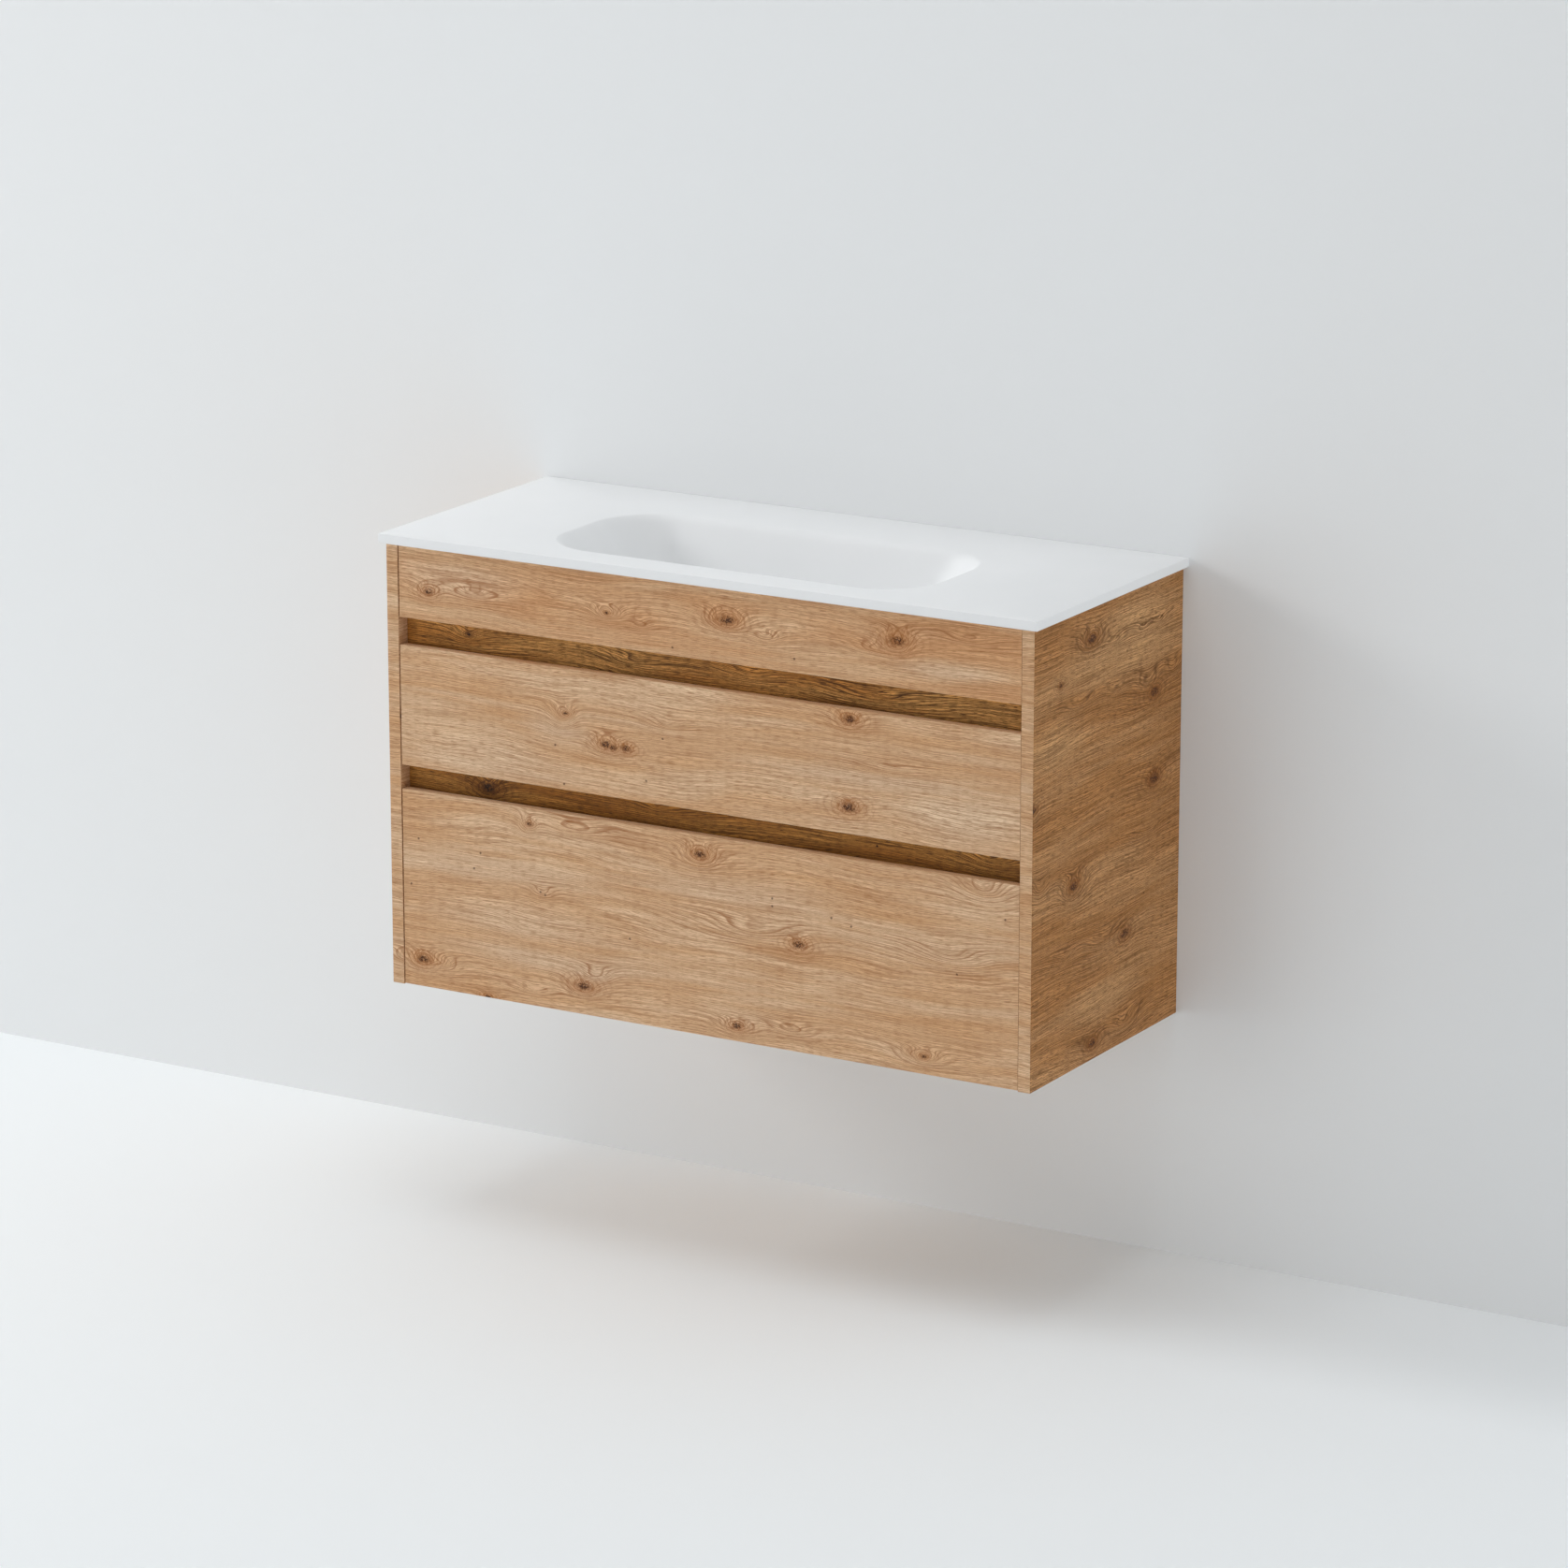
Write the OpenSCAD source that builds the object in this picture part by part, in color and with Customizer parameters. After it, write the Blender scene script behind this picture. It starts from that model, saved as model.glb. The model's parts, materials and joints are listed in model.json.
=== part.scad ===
// Floating bathroom vanity: an oak-faced cabinet with two drawers under a one-piece washbasin.
// It hangs on two wall plates. The origin is the centre of their four screw holes, on the wall.
// +X runs to the right as seen from the room, +Y into the wall and +Z up.

/* [Cabinet] */
// Width over both side panels
cab_w = 1000; // [820:10:1200]
// Depth from the wall to the faces of the fronts
cab_d = 420; // [350:5:510]
// Height of the side panels
cab_h = 623; // [519:1:750]
// Thickness of the carcass boards and of the fronts
board_t = 18; // [15:0.5:22]
// Thickness of the two grip rails
rail_t = 16; // [12:1:19]
// Height of the rear rail under the washbasin
rear_rail_h = 60; // [50:1:80]
// Height of the rear rail above the bottom panel
foot_rail_h = 80; // [60:1:100]
// Space behind the upper rear rail, for the wall plates
plate_space = 18; // [16:1:30]

/* [Fronts] */
// Gap between the fronts and the left side panel
reveal = 2; // [1:0.5:4]
// Gap between the fronts and the right side panel, to which they are set closer
right_reveal = 1; // [0.6:0.2:4]
// Height of the fixed fascia
fascia_h = 101; // [80:1:122]
// Clear height of the upper grip slot
upper_slot_h = 39; // [28:1:48]
// Height of the upper drawer's front
upper_front_h = 169; // [140:1:205]
// Clear height of the lower grip slot
lower_slot_h = 34; // [28:1:42]
// Height of the lower front's edge over the side panels' lower edge
foot_reveal = 1.5; // [0.5:0.5:4]
// Space between the back of a closed front and the grip rails
pad_gap = 3.5; // [2.5:0.5:6]
// Thickness of a front beside its finger rebate
finger_land = 13; // [9:0.5:14]
// Height of the finger rebate at the back of a front's upper edge
finger_h = 19; // [14:1:21]
// How far a grip rail reaches down behind the front below it
rail_lap = 31; // [30:1:38]
// How far the upper grip rail rises behind the fascia
rail_rise = 68; // [60:1:75]
// How far the lower grip rail rises behind the upper front
rail_foot = 16; // [12:1:22]
// Radius of the bumpers
pad_r = 4; // [3:0.5:5]

/* [Washbasin] */
// How far the slab stands over the cabinet in front and at each side
overhang = 8; // [2:1:20]
// Thickness of the slab
slab_t = 13; // [10:0.5:20]
// Thickness of the adhesive under the slab
bond_t = 0.5; // [0.3:0.1:1]
// Width of the adhesive beads
bond_w = 8; // [5:1:12]
// Length of the bowl at its rim
bowl_l = 590; // [480:5:710]
// Width of the bowl at its rim, front to back
bowl_w = 258; // [210:2:286]
// Slab left in front of the bowl
bowl_front = 50; // [42:1:60]
// Corner radius of the rim
bowl_r = 90; // [60:1:100]
// Depth of the bowl
bowl_depth = 110; // [90:1:130]
// How far each end wall leans in from rim to floor
end_slope = 60; // [30:1:80]
// Radius between the walls and the floor
floor_r = 45; // [30:1:54]
// Wall thickness of the bowl
bowl_wall = 10; // [8:0.5:14]
// Width of the lip's slope round the rim
lip_w = 6; // [3:0.5:10]
// Depth of the lip's slope
lip_h = 8; // [4:0.5:12]

/* [Waste] */
// Radius of the waste hole in the bowl's floor
waste_hole_r = 23; // [22:0.5:26]
// Outer radius of the waste's thread, a 1 1/4 inch pipe thread
thread_r = 20.955; // [18:0.005:21.5]
// Inner radius of the waste's tube
tube_r = 17.5; // [14:0.5:17.5]
// Radius of the waste's flange
flange_r = 32; // [28:0.5:36]
// Thickness of the flange
flange_t = 2.5; // [2:0.5:4]
// Thickness of the gasket under the flange
gasket_t = 1.5; // [1:0.5:2]
// Length of the waste below the bowl's floor
tail_l = 80; // [70:1:90]
// Radius of the plug's stem
stem_r = 3; // [2:0.5:4]
// Upward travel of the plug
plug_travel = 9; // [5:1:10]

/* [Drawers] */
// Thickness of the drawer boxes' boards
box_t = 16; // [12:0.5:19]
// Thickness of the drawer floors
floor_t = 10; // [8:0.5:12]
// Gap between a drawer box and the side panel, where the runner's flange stands
box_gap = 5; // [4.5:0.5:7]
// Height of a drawer floor's underside over the lower edges of the drawer's sides
floor_rise = 12; // [11.5:0.5:15]
// Clear height over each drawer box
box_head = 6; // [4:1:10]
// Space behind the drawer boxes
rear_space = 40; // [38:1:60]
// Forward travel of each drawer
travel = 330; // [250:5:400]
// Clear width of the upper drawer's notch round the waste
notch_w = 210; // [170:5:260]
// How far the notch reaches in front of the waste's axis
notch_reach = 85; // [70:1:100]

/* [Runners] */
// Sheet thickness of the runner members
steel_t = 1.5; // [1.2:0.1:1.8]
// Height of the flange that is screwed to the side panel
flange_h = 38; // [34:1:45]
// Width of the runner's track
track_w = 20; // [18:0.5:24]
// Gap between a drawer side and the track
track_gap = 3; // [2:0.5:5]
// Width of the lips that hold the middle member
track_lip = 3.5; // [3:0.5:4]
// Ball diameter
ball_d = 2.8; // [2.3:0.1:3.4]
// Balls in each row
ball_count = 5; // [3:1:8]
// Vertical gap between the drawer member and the cabinet member
member_gap = 4.4; // [3:0.1:6]
// Thickness of the ball cages
cage_t = 1; // [0.8:0.1:1.2]
// Gap between the lower grip rail, or the bottom panel, and the runner over it
runner_lift = 2; // [1:0.5:4]
// Gap between the grip rails and the runners' front ends
runner_set = 2.5; // [1:0.5:5]
// Extra height of the lower runners over the bottom panel
low_lift = 6; // [2:1:15]
// Length of the soft-close damper
damper_l = 120; // [90:5:140]

/* [Wall hanging] */
// Height of a hanger's housing
hanger_h = 55; // [50:1:60]
// Width of a hanger's housing
hanger_w = 18; // [16:1:24]
// Length of a hanger's housing, front to back
hanger_l = 58; // [50:1:70]
// Drop from the upper rear rail to the line of the wall screws
hook_drop = 42.5; // [42:0.5:50]
// Distance of a wall plate's centre from the side panel
plate_inset = 35; // [32:1:45]
// Width of a wall plate
plate_w = 50; // [44:1:60]
// Vertical distance between the two screw holes of a wall plate
plate_pitch = 25; // [20:1:30]
// Radius of the screw holes in the wall plates
plate_hole_r = 3.5; // [2.5:0.25:4]
// Thickness of the wall plates and of their lips
plate_t = 2; // [1.5:0.25:3]
// Distance from the wall to the back of a wall plate's lip
plate_lip = 6; // [5:0.5:7]

/* [Fixings] */
// Dowel diameter
dowel_d = 8; // [6:1:8]
// Dowel length in the side panel or drawer side
dowel_in = 11; // [8:1:11]
// Dowel length in the board that meets it
dowel_out = 21; // [15:1:25]
// Shank radius of the screws
screw_r = 1.9; // [1.6:0.1:2.2]
// Head radius of the screws
head_r = 3.8; // [3.4:0.1:4.2]
// Head height of the screws
head_h = 2.2; // [1.6:0.1:2.4]
// Depth that a screw reaches into the second board
bite = 11.5; // [9:0.5:12]
// Clearance of dowels, screws and the like in their holes
fit_gap = 0.1; // [0.05:0.05:0.2]
// Clearance between parts that slide, hook or meet at rest
run_gap = 0.3; // [0.2:0.05:0.5]

/* [Hidden] */
$fn = 64;

oak = "#bf9464";
oak_shade = "#9a7347";
melamine = "#8d8a84";
solid_white = "#eef0ef";
zinc = "#b9bcbe";
chrome = "#d5d8da";
grey_plastic = "#5f6366";
rubber = "#2c2d2e";
beech = "#d9bd8f";
silicone = "#f2f2ee";

// Carcass
half_in = cab_w/2 - board_t;
front_x = [-half_in + reveal, half_in - right_reveal];
half_front = half_in - max(reveal, right_reveal);
front_y = -cab_d;
front_back_y = front_y + board_t;
rail_y0 = front_back_y + pad_gap;
rail_y1 = rail_y0 + rail_t;
fascia_z0 = cab_h - fascia_h;
upper_z1 = fascia_z0 - upper_slot_h;
upper_z0 = upper_z1 - upper_front_h;
lower_z1 = upper_z0 - lower_slot_h;
lower_z0 = foot_reveal;
grip_up_z = [upper_z1 - rail_lap, fascia_z0 + rail_rise];
grip_low_z = [lower_z1 - rail_lap, upper_z0 + rail_foot];
rear_z0 = cab_h - rear_rail_h;
hang_z = rear_z0 - hook_drop;

// Washbasin and waste
slab_z0 = cab_h + bond_t;
slab_z1 = slab_z0 + slab_t;
bowl_y = -(cab_d + overhang) + bowl_front + bowl_w/2;
floor_z = slab_z1 - bowl_depth;
seat_margin = 4;
floor_dx = bowl_l/2 - end_slope - floor_r;
floor_dy = flange_r + seat_margin;
seat_h = flange_t + gasket_t;
washer_t = 4;
nut_h = 8;
cap_r = flange_r - 2;
ring_t = 1.5;
cap_z = run_gap + ring_t;
hub_r = 7.5;
hub_h = 10;
hub_top = -26;
cartridge_r = 5;
cartridge_top = hub_top + 2.5;
stem_foot = cartridge_top - plug_travel - 6.5;
tail_top = -bowl_wall - washer_t - nut_h - 4;

// Runners, from the drawer member down to the cabinet member, over the drawer side's lower edge
track_x = box_gap + box_t + track_gap;
race = ball_d + 2*fit_gap;
slide_top = floor_rise - steel_t;
middle_top = slide_top - race;
slide_foot = middle_top - steel_t - run_gap - steel_t;
member_top = slide_foot - member_gap;
middle_foot = member_top - steel_t - run_gap - steel_t;
base_top = middle_foot - race;
runner_drop = steel_t - base_top;
tab_w = 14;
base_w = track_x + track_w + tab_w;
middle_w = track_w - 2*steel_t - 3;
runner_y0 = rail_y1 + runner_set;
runner_y1 = -rear_space;
runner_l = runner_y1 - runner_y0;
runner_cy = (runner_y0 + runner_y1)/2;
cage_l = runner_l - travel/2 - 5;

// Drawer boxes
half_box = half_in - box_gap;
half_room = half_box - box_t;
box_y0 = front_back_y;
box_y1 = runner_y1;
upper_box_z = [grip_low_z[1] + runner_lift + runner_drop, grip_up_z[0] - box_head];
lower_box_z = [board_t + runner_lift + low_lift + runner_drop, grip_low_z[0] - box_head];
notch_y = bowl_y - notch_reach;
stop_room = 1;

// Dowel places beside a side panel, as [y, z]
rail_mid_y = (rail_y0 + rail_y1)/2;
rear_mid_y = -plate_space - board_t/2;
dowel_edge = 20;
bottom_spots = [for (i = [0:2]) [rail_y0 + 45 + i*(-rail_y0 - 90)/2, board_t/2]];
grip_up_spots = [for (z = [grip_up_z[0] + dowel_edge, grip_up_z[1] - dowel_edge]) [rail_mid_y, z]];
grip_low_spots = [for (z = [grip_low_z[0] + dowel_edge, grip_low_z[1] - dowel_edge]) [rail_mid_y, z]];
rear_up_spots = [for (z = [rear_z0 + 15, cab_h - 15]) [rear_mid_y, z]];
rear_low_spots = [for (z = [board_t + dowel_edge, board_t + foot_rail_h - dowel_edge]) [-board_t/2, z]];
carcass_spots = concat(bottom_spots, grip_up_spots, grip_low_spots, rear_up_spots, rear_low_spots);

// Screw places
fascia_screw_z = fascia_z0 + rail_rise/2;
fascia_screw_x = [-half_front*5/6, -half_front/3.5, half_front/3.5, half_front*5/6];
front_screw_x = [-half_room + 60, 0, half_room - 60];
flange_screw_v = 18;
runner_screw_y = [runner_y0 + 35, runner_cy, runner_y1 - 35];
tab_screw_x = half_in - track_x - track_w - tab_w/2;
tab_screw_y = [runner_y0 + 45, runner_y1 - 45];
hanger_y1 = -plate_space - 4;
hanger_y0 = hanger_y1 - hanger_l;
hanger_z0 = rear_z0 - 2.5 - hanger_h;
hanger_screw_at = [[hanger_y0 + 10, hanger_z0 + 6.5], [hanger_y1 - 10, hanger_z0 + 6.5],
                   [(hanger_y0 + hanger_y1)/2, hanger_z0 + hanger_h - 4.5]];
adjuster_r = 3;
adjuster_l = 34;
adjuster_head_h = 2.5;
adjuster_z = [hang_z + 3, hang_z + 29];

// Hook and wall plate, over the line of the wall screws
plate_x = half_in - plate_inset;
lip_z0 = plate_pitch/2 + plate_hole_r + 9.5;
lip_z1 = lip_z0 + 14;
stem_z = [12, 22];
hook_x = half_in - hanger_w/2;
hook_t = 4;
hook_front = 3;
hook_back = 2;
hook_root_y = hanger_y0 + 16;
hook_drop_l = 7;

module block(lo, hi) translate(lo) cube(hi - lo);

module both_sides() {
    children();
    mirror([1, 0, 0]) children();
}

module to_side(side) {
    if (side == "left") mirror([1, 0, 0]) children();
    else children();
}

// Extrudes a drawing of [x, z] points along Y
module along_y(y0, y1) translate([0, y1, 0]) rotate([90, 0, 0]) linear_extrude(y1 - y0) children();

// Extrudes a drawing of [y, z] points along X
module along_x(x0, x1) translate([x0, 0, 0]) rotate([90, 0, 90]) linear_extrude(x1 - x0) children();

// Draws a runner's section: x is the distance from the side panel, y the height over the drawer side
module beside_panel(z, y0, y1) translate([half_in, 0, z]) mirror([1, 0, 0]) along_y(y0, y1) children();

// ---- Fixings ----

// Round bars on both sides, at [y, z] places across the plane x = face
module bars(spots, face, r, past)
    for (spot = spots)
        both_sides()
            translate([face - dowel_out - past, spot.x, spot.y])
                rotate([0, 90, 0])
                    cylinder(r = r, h = dowel_out + dowel_in + 2*past);

module dowels(spots, face) bars(spots, face, dowel_d/2, 0);

module dowel_holes(spots, face) bars(spots, face, dowel_d/2 + fit_gap, stop_room);

// Two crossed slots in a screw head that stands head_top below the origin
module cross_slot(l, w, head_top, depth)
    for (a = [0, 90])
        rotate(a) translate([-l/2, -w/2, -head_top - 1]) cube([l, w, depth + 1]);

// A pan-head screw that enters a board at its origin and runs along +Z
module screw(l) difference() {
    rotate_extrude()
        polygon([[0, -head_h], [head_r*0.6, -head_h], [head_r, -head_h*0.45], [head_r, 0],
                 [screw_r, 0], [screw_r, l - 2*screw_r], [0, l]]);
    cross_slot(1.1*head_r, 0.9, head_h, 1.2);
}

module screw_hole(l) translate([0, 0, -1]) cylinder(r = screw_r + fit_gap, h = l + 1 + stop_room/2);

module at_fascia_screws()
    for (x = fascia_screw_x) translate([x, rail_y1, fascia_screw_z]) rotate([90, 0, 0]) children();

module at_hanger_screws(x)
    for (spot = hanger_screw_at) translate([x, spot.x, spot.y]) rotate([0, 90, 0]) children();

module at_flange_screws(z)
    for (y = runner_screw_y) translate([half_in - steel_t, y, z + flange_screw_v])
        rotate([0, 90, 0]) children();

module at_front_screws(box_z)
    for (x = front_screw_x, z = [box_z[0] + floor_rise + floor_t + 12, box_z[1] - 20])
        translate([x, box_y0 + box_t, z]) rotate([90, 0, 0]) children();

module at_tab_screws(box_z)
    for (y = tab_screw_y) both_sides()
        translate([tab_screw_x, y, box_z[0] + slide_top]) children();

// ---- Carcass ----

module side_panel(side) color(oak) to_side(side) difference() {
    block([half_in, front_y, 0], [cab_w/2, 0, cab_h]);
    dowel_holes(carcass_spots, half_in);
    at_hanger_screws(half_in - hanger_w) screw_hole(hanger_w + bite);
    for (z = [upper_box_z[0], lower_box_z[0]]) at_flange_screws(z) screw_hole(steel_t + bite);
}

module bottom_panel() color(oak_shade) difference() {
    block([-half_in, rail_y0, 0], [half_in, 0, board_t]);
    dowel_holes(bottom_spots, half_in);
}

module rear_rail_upper() color(oak_shade) difference() {
    block([-half_in, -plate_space - board_t, rear_z0], [half_in, -plate_space, cab_h]);
    dowel_holes(rear_up_spots, half_in);
}

module rear_rail_lower() color(oak_shade) difference() {
    block([-half_in, -board_t, board_t], [half_in, 0, board_t + foot_rail_h]);
    dowel_holes(rear_low_spots, half_in);
}

module grip_rail_upper() color(oak) difference() {
    block([-half_in, rail_y0, grip_up_z[0]], [half_in, rail_y1, grip_up_z[1]]);
    dowel_holes(grip_up_spots, half_in);
    at_fascia_screws() screw_hole(rail_t);
}

module grip_rail_lower() color(oak) difference() {
    block([-half_in, rail_y0, grip_low_z[0]], [half_in, rail_y1, grip_low_z[1]]);
    dowel_holes(grip_low_spots, half_in);
}

module fascia() color(oak) difference() {
    block([front_x[0], front_y, fascia_z0], [front_x[1], front_back_y, cab_h]);
    at_fascia_screws() screw_hole(rail_t + pad_gap + bite);
}

module fascia_spacers() color(grey_plastic) at_fascia_screws()
    translate([0, 0, rail_t]) difference() {
        cylinder(r = 3*head_r, h = pad_gap);
        translate([0, 0, -1]) cylinder(r = screw_r + fit_gap, h = pad_gap + 2);
    }

module carcass_dowels() color(beech) dowels(carcass_spots, half_in);

module carcass_screws() color(zinc) {
    at_fascia_screws() screw(rail_t + pad_gap + bite);
    both_sides() {
        at_hanger_screws(half_in - hanger_w) screw(hanger_w + bite);
        for (z = [upper_box_z[0], lower_box_z[0]]) at_flange_screws(z) screw(steel_t + bite);
    }
}

// Soft pads on the grip rails and the bottom panel, a running gap short of the closed fronts
module front_bumpers() color(rubber) {
    pad_z = [upper_z1 - (rail_lap + finger_h)/2, upper_z0 + rail_foot/2,
             lower_z1 - (rail_lap + finger_h)/2, board_t/2];
    for (z = pad_z) both_sides() translate([half_front - 40, rail_y0, z]) rotate([90, 0, 0]) {
        cylinder(r = pad_r, h = (pad_gap - run_gap)/2);
        cylinder(r = pad_r - 1, h = pad_gap - run_gap);
    }
}

// ---- Wall hanging ----

module hanger(side) color(zinc) to_side(side) difference() {
    block([half_in - hanger_w, hanger_y0, hanger_z0], [half_in, hanger_y1, hanger_z0 + hanger_h]);
    at_hanger_screws(half_in - hanger_w) screw_hole(hanger_w + 1);
    at_adjusters() cylinder(r = adjuster_r + fit_gap, h = adjuster_l + stop_room);
    block([hook_x - hook_t/2 - run_gap, hook_root_y - 2, hang_z + stem_z[0] - run_gap],
          [hook_x + hook_t/2 + run_gap, hanger_y1 + 1, hang_z + stem_z[1] + run_gap]);
}

module at_adjusters()
    for (z = adjuster_z) translate([hook_x, hanger_y0, z]) rotate([-90, 0, 0]) children();

// Cross-head screws that set the height and the depth of the hook
module hanger_adjusters() color(chrome) both_sides() at_adjusters() difference() {
    union() {
        cylinder(r = adjuster_r, h = adjuster_l);
        translate([0, 0, -adjuster_head_h]) cylinder(r = adjuster_r + 2, h = adjuster_head_h);
    }
    cross_slot(2*adjuster_r + 0.8, 1.4, adjuster_head_h, 1.8);
}

// Hooks that drop over the lips of the wall plates
module hanger_hooks() color(zinc) both_sides()
    along_x(hook_x - hook_t/2, hook_x + hook_t/2) translate([0, hang_z]) {
        lip_y = -plate_lip - plate_t;
        hook_y = lip_y - run_gap - hook_front;
        top_z = lip_z1 + run_gap;
        back_y = run_gap - plate_lip;
        polygon([
            [hook_root_y, stem_z[0]], [hook_y, stem_z[0]], [lip_y - run_gap, stem_z[0] + 2],
            [lip_y - run_gap, top_z], [back_y, top_z], [back_y, lip_z1 - hook_drop_l],
            [back_y + hook_back, lip_z1 - hook_drop_l], [back_y + hook_back, top_z + hook_front],
            [hook_y, top_z + hook_front], [hook_y, stem_z[1]], [hook_root_y, stem_z[1]]
        ]);
    }

module wall_plates() color(zinc) both_sides() difference() {
    along_x(plate_x - plate_w/2, plate_x + plate_w/2) translate([0, hang_z]) {
        foot = plate_pitch/2 + plate_hole_r + 6.5;
        translate([-plate_t, -foot]) square([plate_t, foot + lip_z0 + plate_t]);
        translate([-plate_lip - plate_t, lip_z0]) square([plate_lip + plate_t, plate_t]);
        translate([-plate_lip - plate_t, lip_z0]) square([plate_t, lip_z1 - lip_z0]);
    }
    for (dz = [-plate_pitch/2, plate_pitch/2])
        translate([plate_x, -plate_t - 1, hang_z + dz]) rotate([-90, 0, 0])
            cylinder(r = plate_hole_r, h = plate_t + 2);
}

// ---- Washbasin and waste ----

// Four corner discs of an outline with round corners
module rim(l, w, r, z, h)
    for (sx = [-1, 1], sy = [-1, 1])
        translate([sx*(l/2 - r), bowl_y + sy*(w/2 - r), z]) cylinder(r = r, h = h, $fn = 48);

// Four corner balls of the bowl's floor
module floor_corners(r)
    for (sx = [-1, 1], sy = [-1, 1])
        translate([sx*floor_dx, bowl_y + sy*floor_dy, floor_z + floor_r]) sphere(r = r, $fn = 32);

module washbasin() color(solid_white) {
    skin = 0.1;
    throat_l = bowl_l - 2*lip_w;
    throat_w = bowl_w - 2*lip_w;
    difference() {
        union() {
            block([-cab_w/2 - overhang, -cab_d - overhang, slab_z0], [cab_w/2 + overhang, 0, slab_z1]);
            hull() {
                rim(bowl_l + 2*bowl_wall, bowl_w + 2*bowl_wall, bowl_r + bowl_wall, slab_z0, skin);
                floor_corners(floor_r + bowl_wall);
            }
        }
        hull() {
            rim(bowl_l, bowl_w, bowl_r, slab_z1, 1);
            rim(throat_l, throat_w, bowl_r - lip_w, slab_z1 - lip_h, skin);
        }
        hull() {
            rim(throat_l, throat_w, bowl_r - lip_w, slab_z1 - lip_h, skin);
            floor_corners(floor_r);
        }
        at_waste() {
            translate([0, 0, -seat_h]) cylinder(r = flange_r + stop_room, h = seat_h + 1);
            translate([0, 0, -bowl_wall - 1]) cylinder(r = waste_hole_r, h = bowl_wall + 1);
        }
    }
}

module at_waste() translate([0, bowl_y, floor_z]) children();

module basin_bond() color(silicone) {
    margin = 6;
    both_sides()
        block([cab_w/2 - (board_t + bond_w)/2, front_y + margin, cab_h],
              [cab_w/2 - (board_t - bond_w)/2, -margin, slab_z0]);
    for (y = [front_y + board_t/2, rear_mid_y])
        block([-half_front + margin, y - bond_w/2, cab_h], [half_front - margin, y + bond_w/2, slab_z0]);
}

// A groove parts the free thread below the nut, which carries the trap, from the thread in the bowl
module waste_body() color(chrome) at_waste() {
    core_r = thread_r - 1;
    rotate_extrude()
        polygon([[tube_r, -tail_l], [core_r, -tail_l], [thread_r, -tail_l + 1], [thread_r, tail_top],
                 [core_r, tail_top + 0.5], [core_r, tail_top + 1.5], [thread_r, tail_top + 2],
                 [thread_r, -flange_t], [flange_r, -flange_t], [flange_r, -0.8],
                 [flange_r - 1.5, 0], [tube_r + 1.5, 0], [tube_r, -2]]);
    difference() {
        union() {
            for (a = [0, 90])
                rotate(a) translate([-tube_r - 1, -1.2, hub_top - 8]) cube([2*tube_r + 2, 2.4, 6]);
            translate([0, 0, hub_top - hub_h]) cylinder(r = hub_r, h = hub_h);
        }
        translate([0, 0, hub_top - hub_h - 1]) cylinder(r = cartridge_r + fit_gap, h = hub_h + 2);
    }
}

// Click mechanism in the hub of the waste; the plug's stem slides in it
module waste_cartridge() color(grey_plastic) at_waste() difference() {
    rotate_extrude()
        polygon([[0, stem_foot - 8], [cartridge_r - 1, stem_foot - 8], [cartridge_r, stem_foot - 7],
                 [cartridge_r, hub_top], [hub_r, hub_top], [hub_r, cartridge_top], [0, cartridge_top]]);
    translate([0, 0, stem_foot - 4]) cylinder(r = stem_r + fit_gap, h = -stem_foot);
}

module waste_seals() color(rubber) at_waste() {
    rotate_extrude()
        translate([thread_r + run_gap, -seat_h]) square([flange_r - thread_r - 1, gasket_t]);
    rotate_extrude()
        translate([thread_r + run_gap, -bowl_wall - washer_t]) square([flange_r - thread_r - 1, washer_t]);
}

module waste_nut() color(chrome) at_waste() translate([0, 0, -bowl_wall - washer_t - nut_h]) difference() {
    cylinder(r = flange_r - 1, h = nut_h);
    translate([0, 0, -1]) cylinder(r = thread_r + fit_gap, h = nut_h + 2);
    for (a = [0:45:315]) rotate(a) translate([flange_r - 1, 0, -1]) cylinder(r = 3, h = nut_h + 2);
}

// Push-open plug, shown closed
module waste_plug() color(chrome) at_waste() rotate_extrude()
    polygon([[0, stem_foot], [stem_r, stem_foot], [stem_r, cap_z], [cap_r - 2, cap_z],
             [cap_r, cap_z + 0.8], [cap_r, cap_z + 1.8], [cap_r - 1.5, cap_z + 2.8], [0, cap_z + 3.6]]);

module plug_ring() color(rubber) at_waste() rotate_extrude()
    translate([tube_r + 3.5, run_gap]) square([4, ring_t]);

// ---- Runners ----

module mirrored_walls() {
    children();
    translate([2*track_x + track_w, 0]) mirror([1, 0]) children();
}

module cabinet_member(z, side) color(zinc) to_side(side) difference() {
    beside_panel(z, runner_y0, runner_y1) {
        translate([0, -runner_drop]) square([base_w, steel_t]);
        translate([0, -runner_drop]) square([steel_t, flange_h]);
        mirrored_walls() {
            translate([track_x, -runner_drop]) square([steel_t, member_top + runner_drop]);
            translate([track_x, member_top - steel_t]) square([steel_t + track_lip, steel_t]);
        }
    }
    at_flange_screws(z) screw_hole(steel_t + 1);
}

// Middle members: two flanges that run between the balls, joined by a web
module middle_members(z) color(zinc) both_sides() beside_panel(z, runner_y0 + 1, runner_y1 - 1) {
    x0 = track_x + (track_w - middle_w)/2;
    for (v = [middle_foot, middle_top - steel_t]) translate([x0, v]) square([middle_w, steel_t]);
    translate([track_x + (track_w - steel_t)/2, middle_foot]) square([steel_t, middle_top - middle_foot]);
}

module drawer_member(box_z, side) color(zinc) to_side(side) difference() {
    beside_panel(box_z[0], runner_y0, runner_y1) {
        translate([track_x, slide_top]) square([track_w + tab_w, steel_t]);
        mirrored_walls() {
            translate([track_x, slide_foot]) square([steel_t, floor_rise - slide_foot]);
            translate([track_x, slide_foot]) square([steel_t + track_lip, steel_t]);
        }
    }
    at_tab_screws(box_z) screw_hole(steel_t + 1);
}

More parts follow.
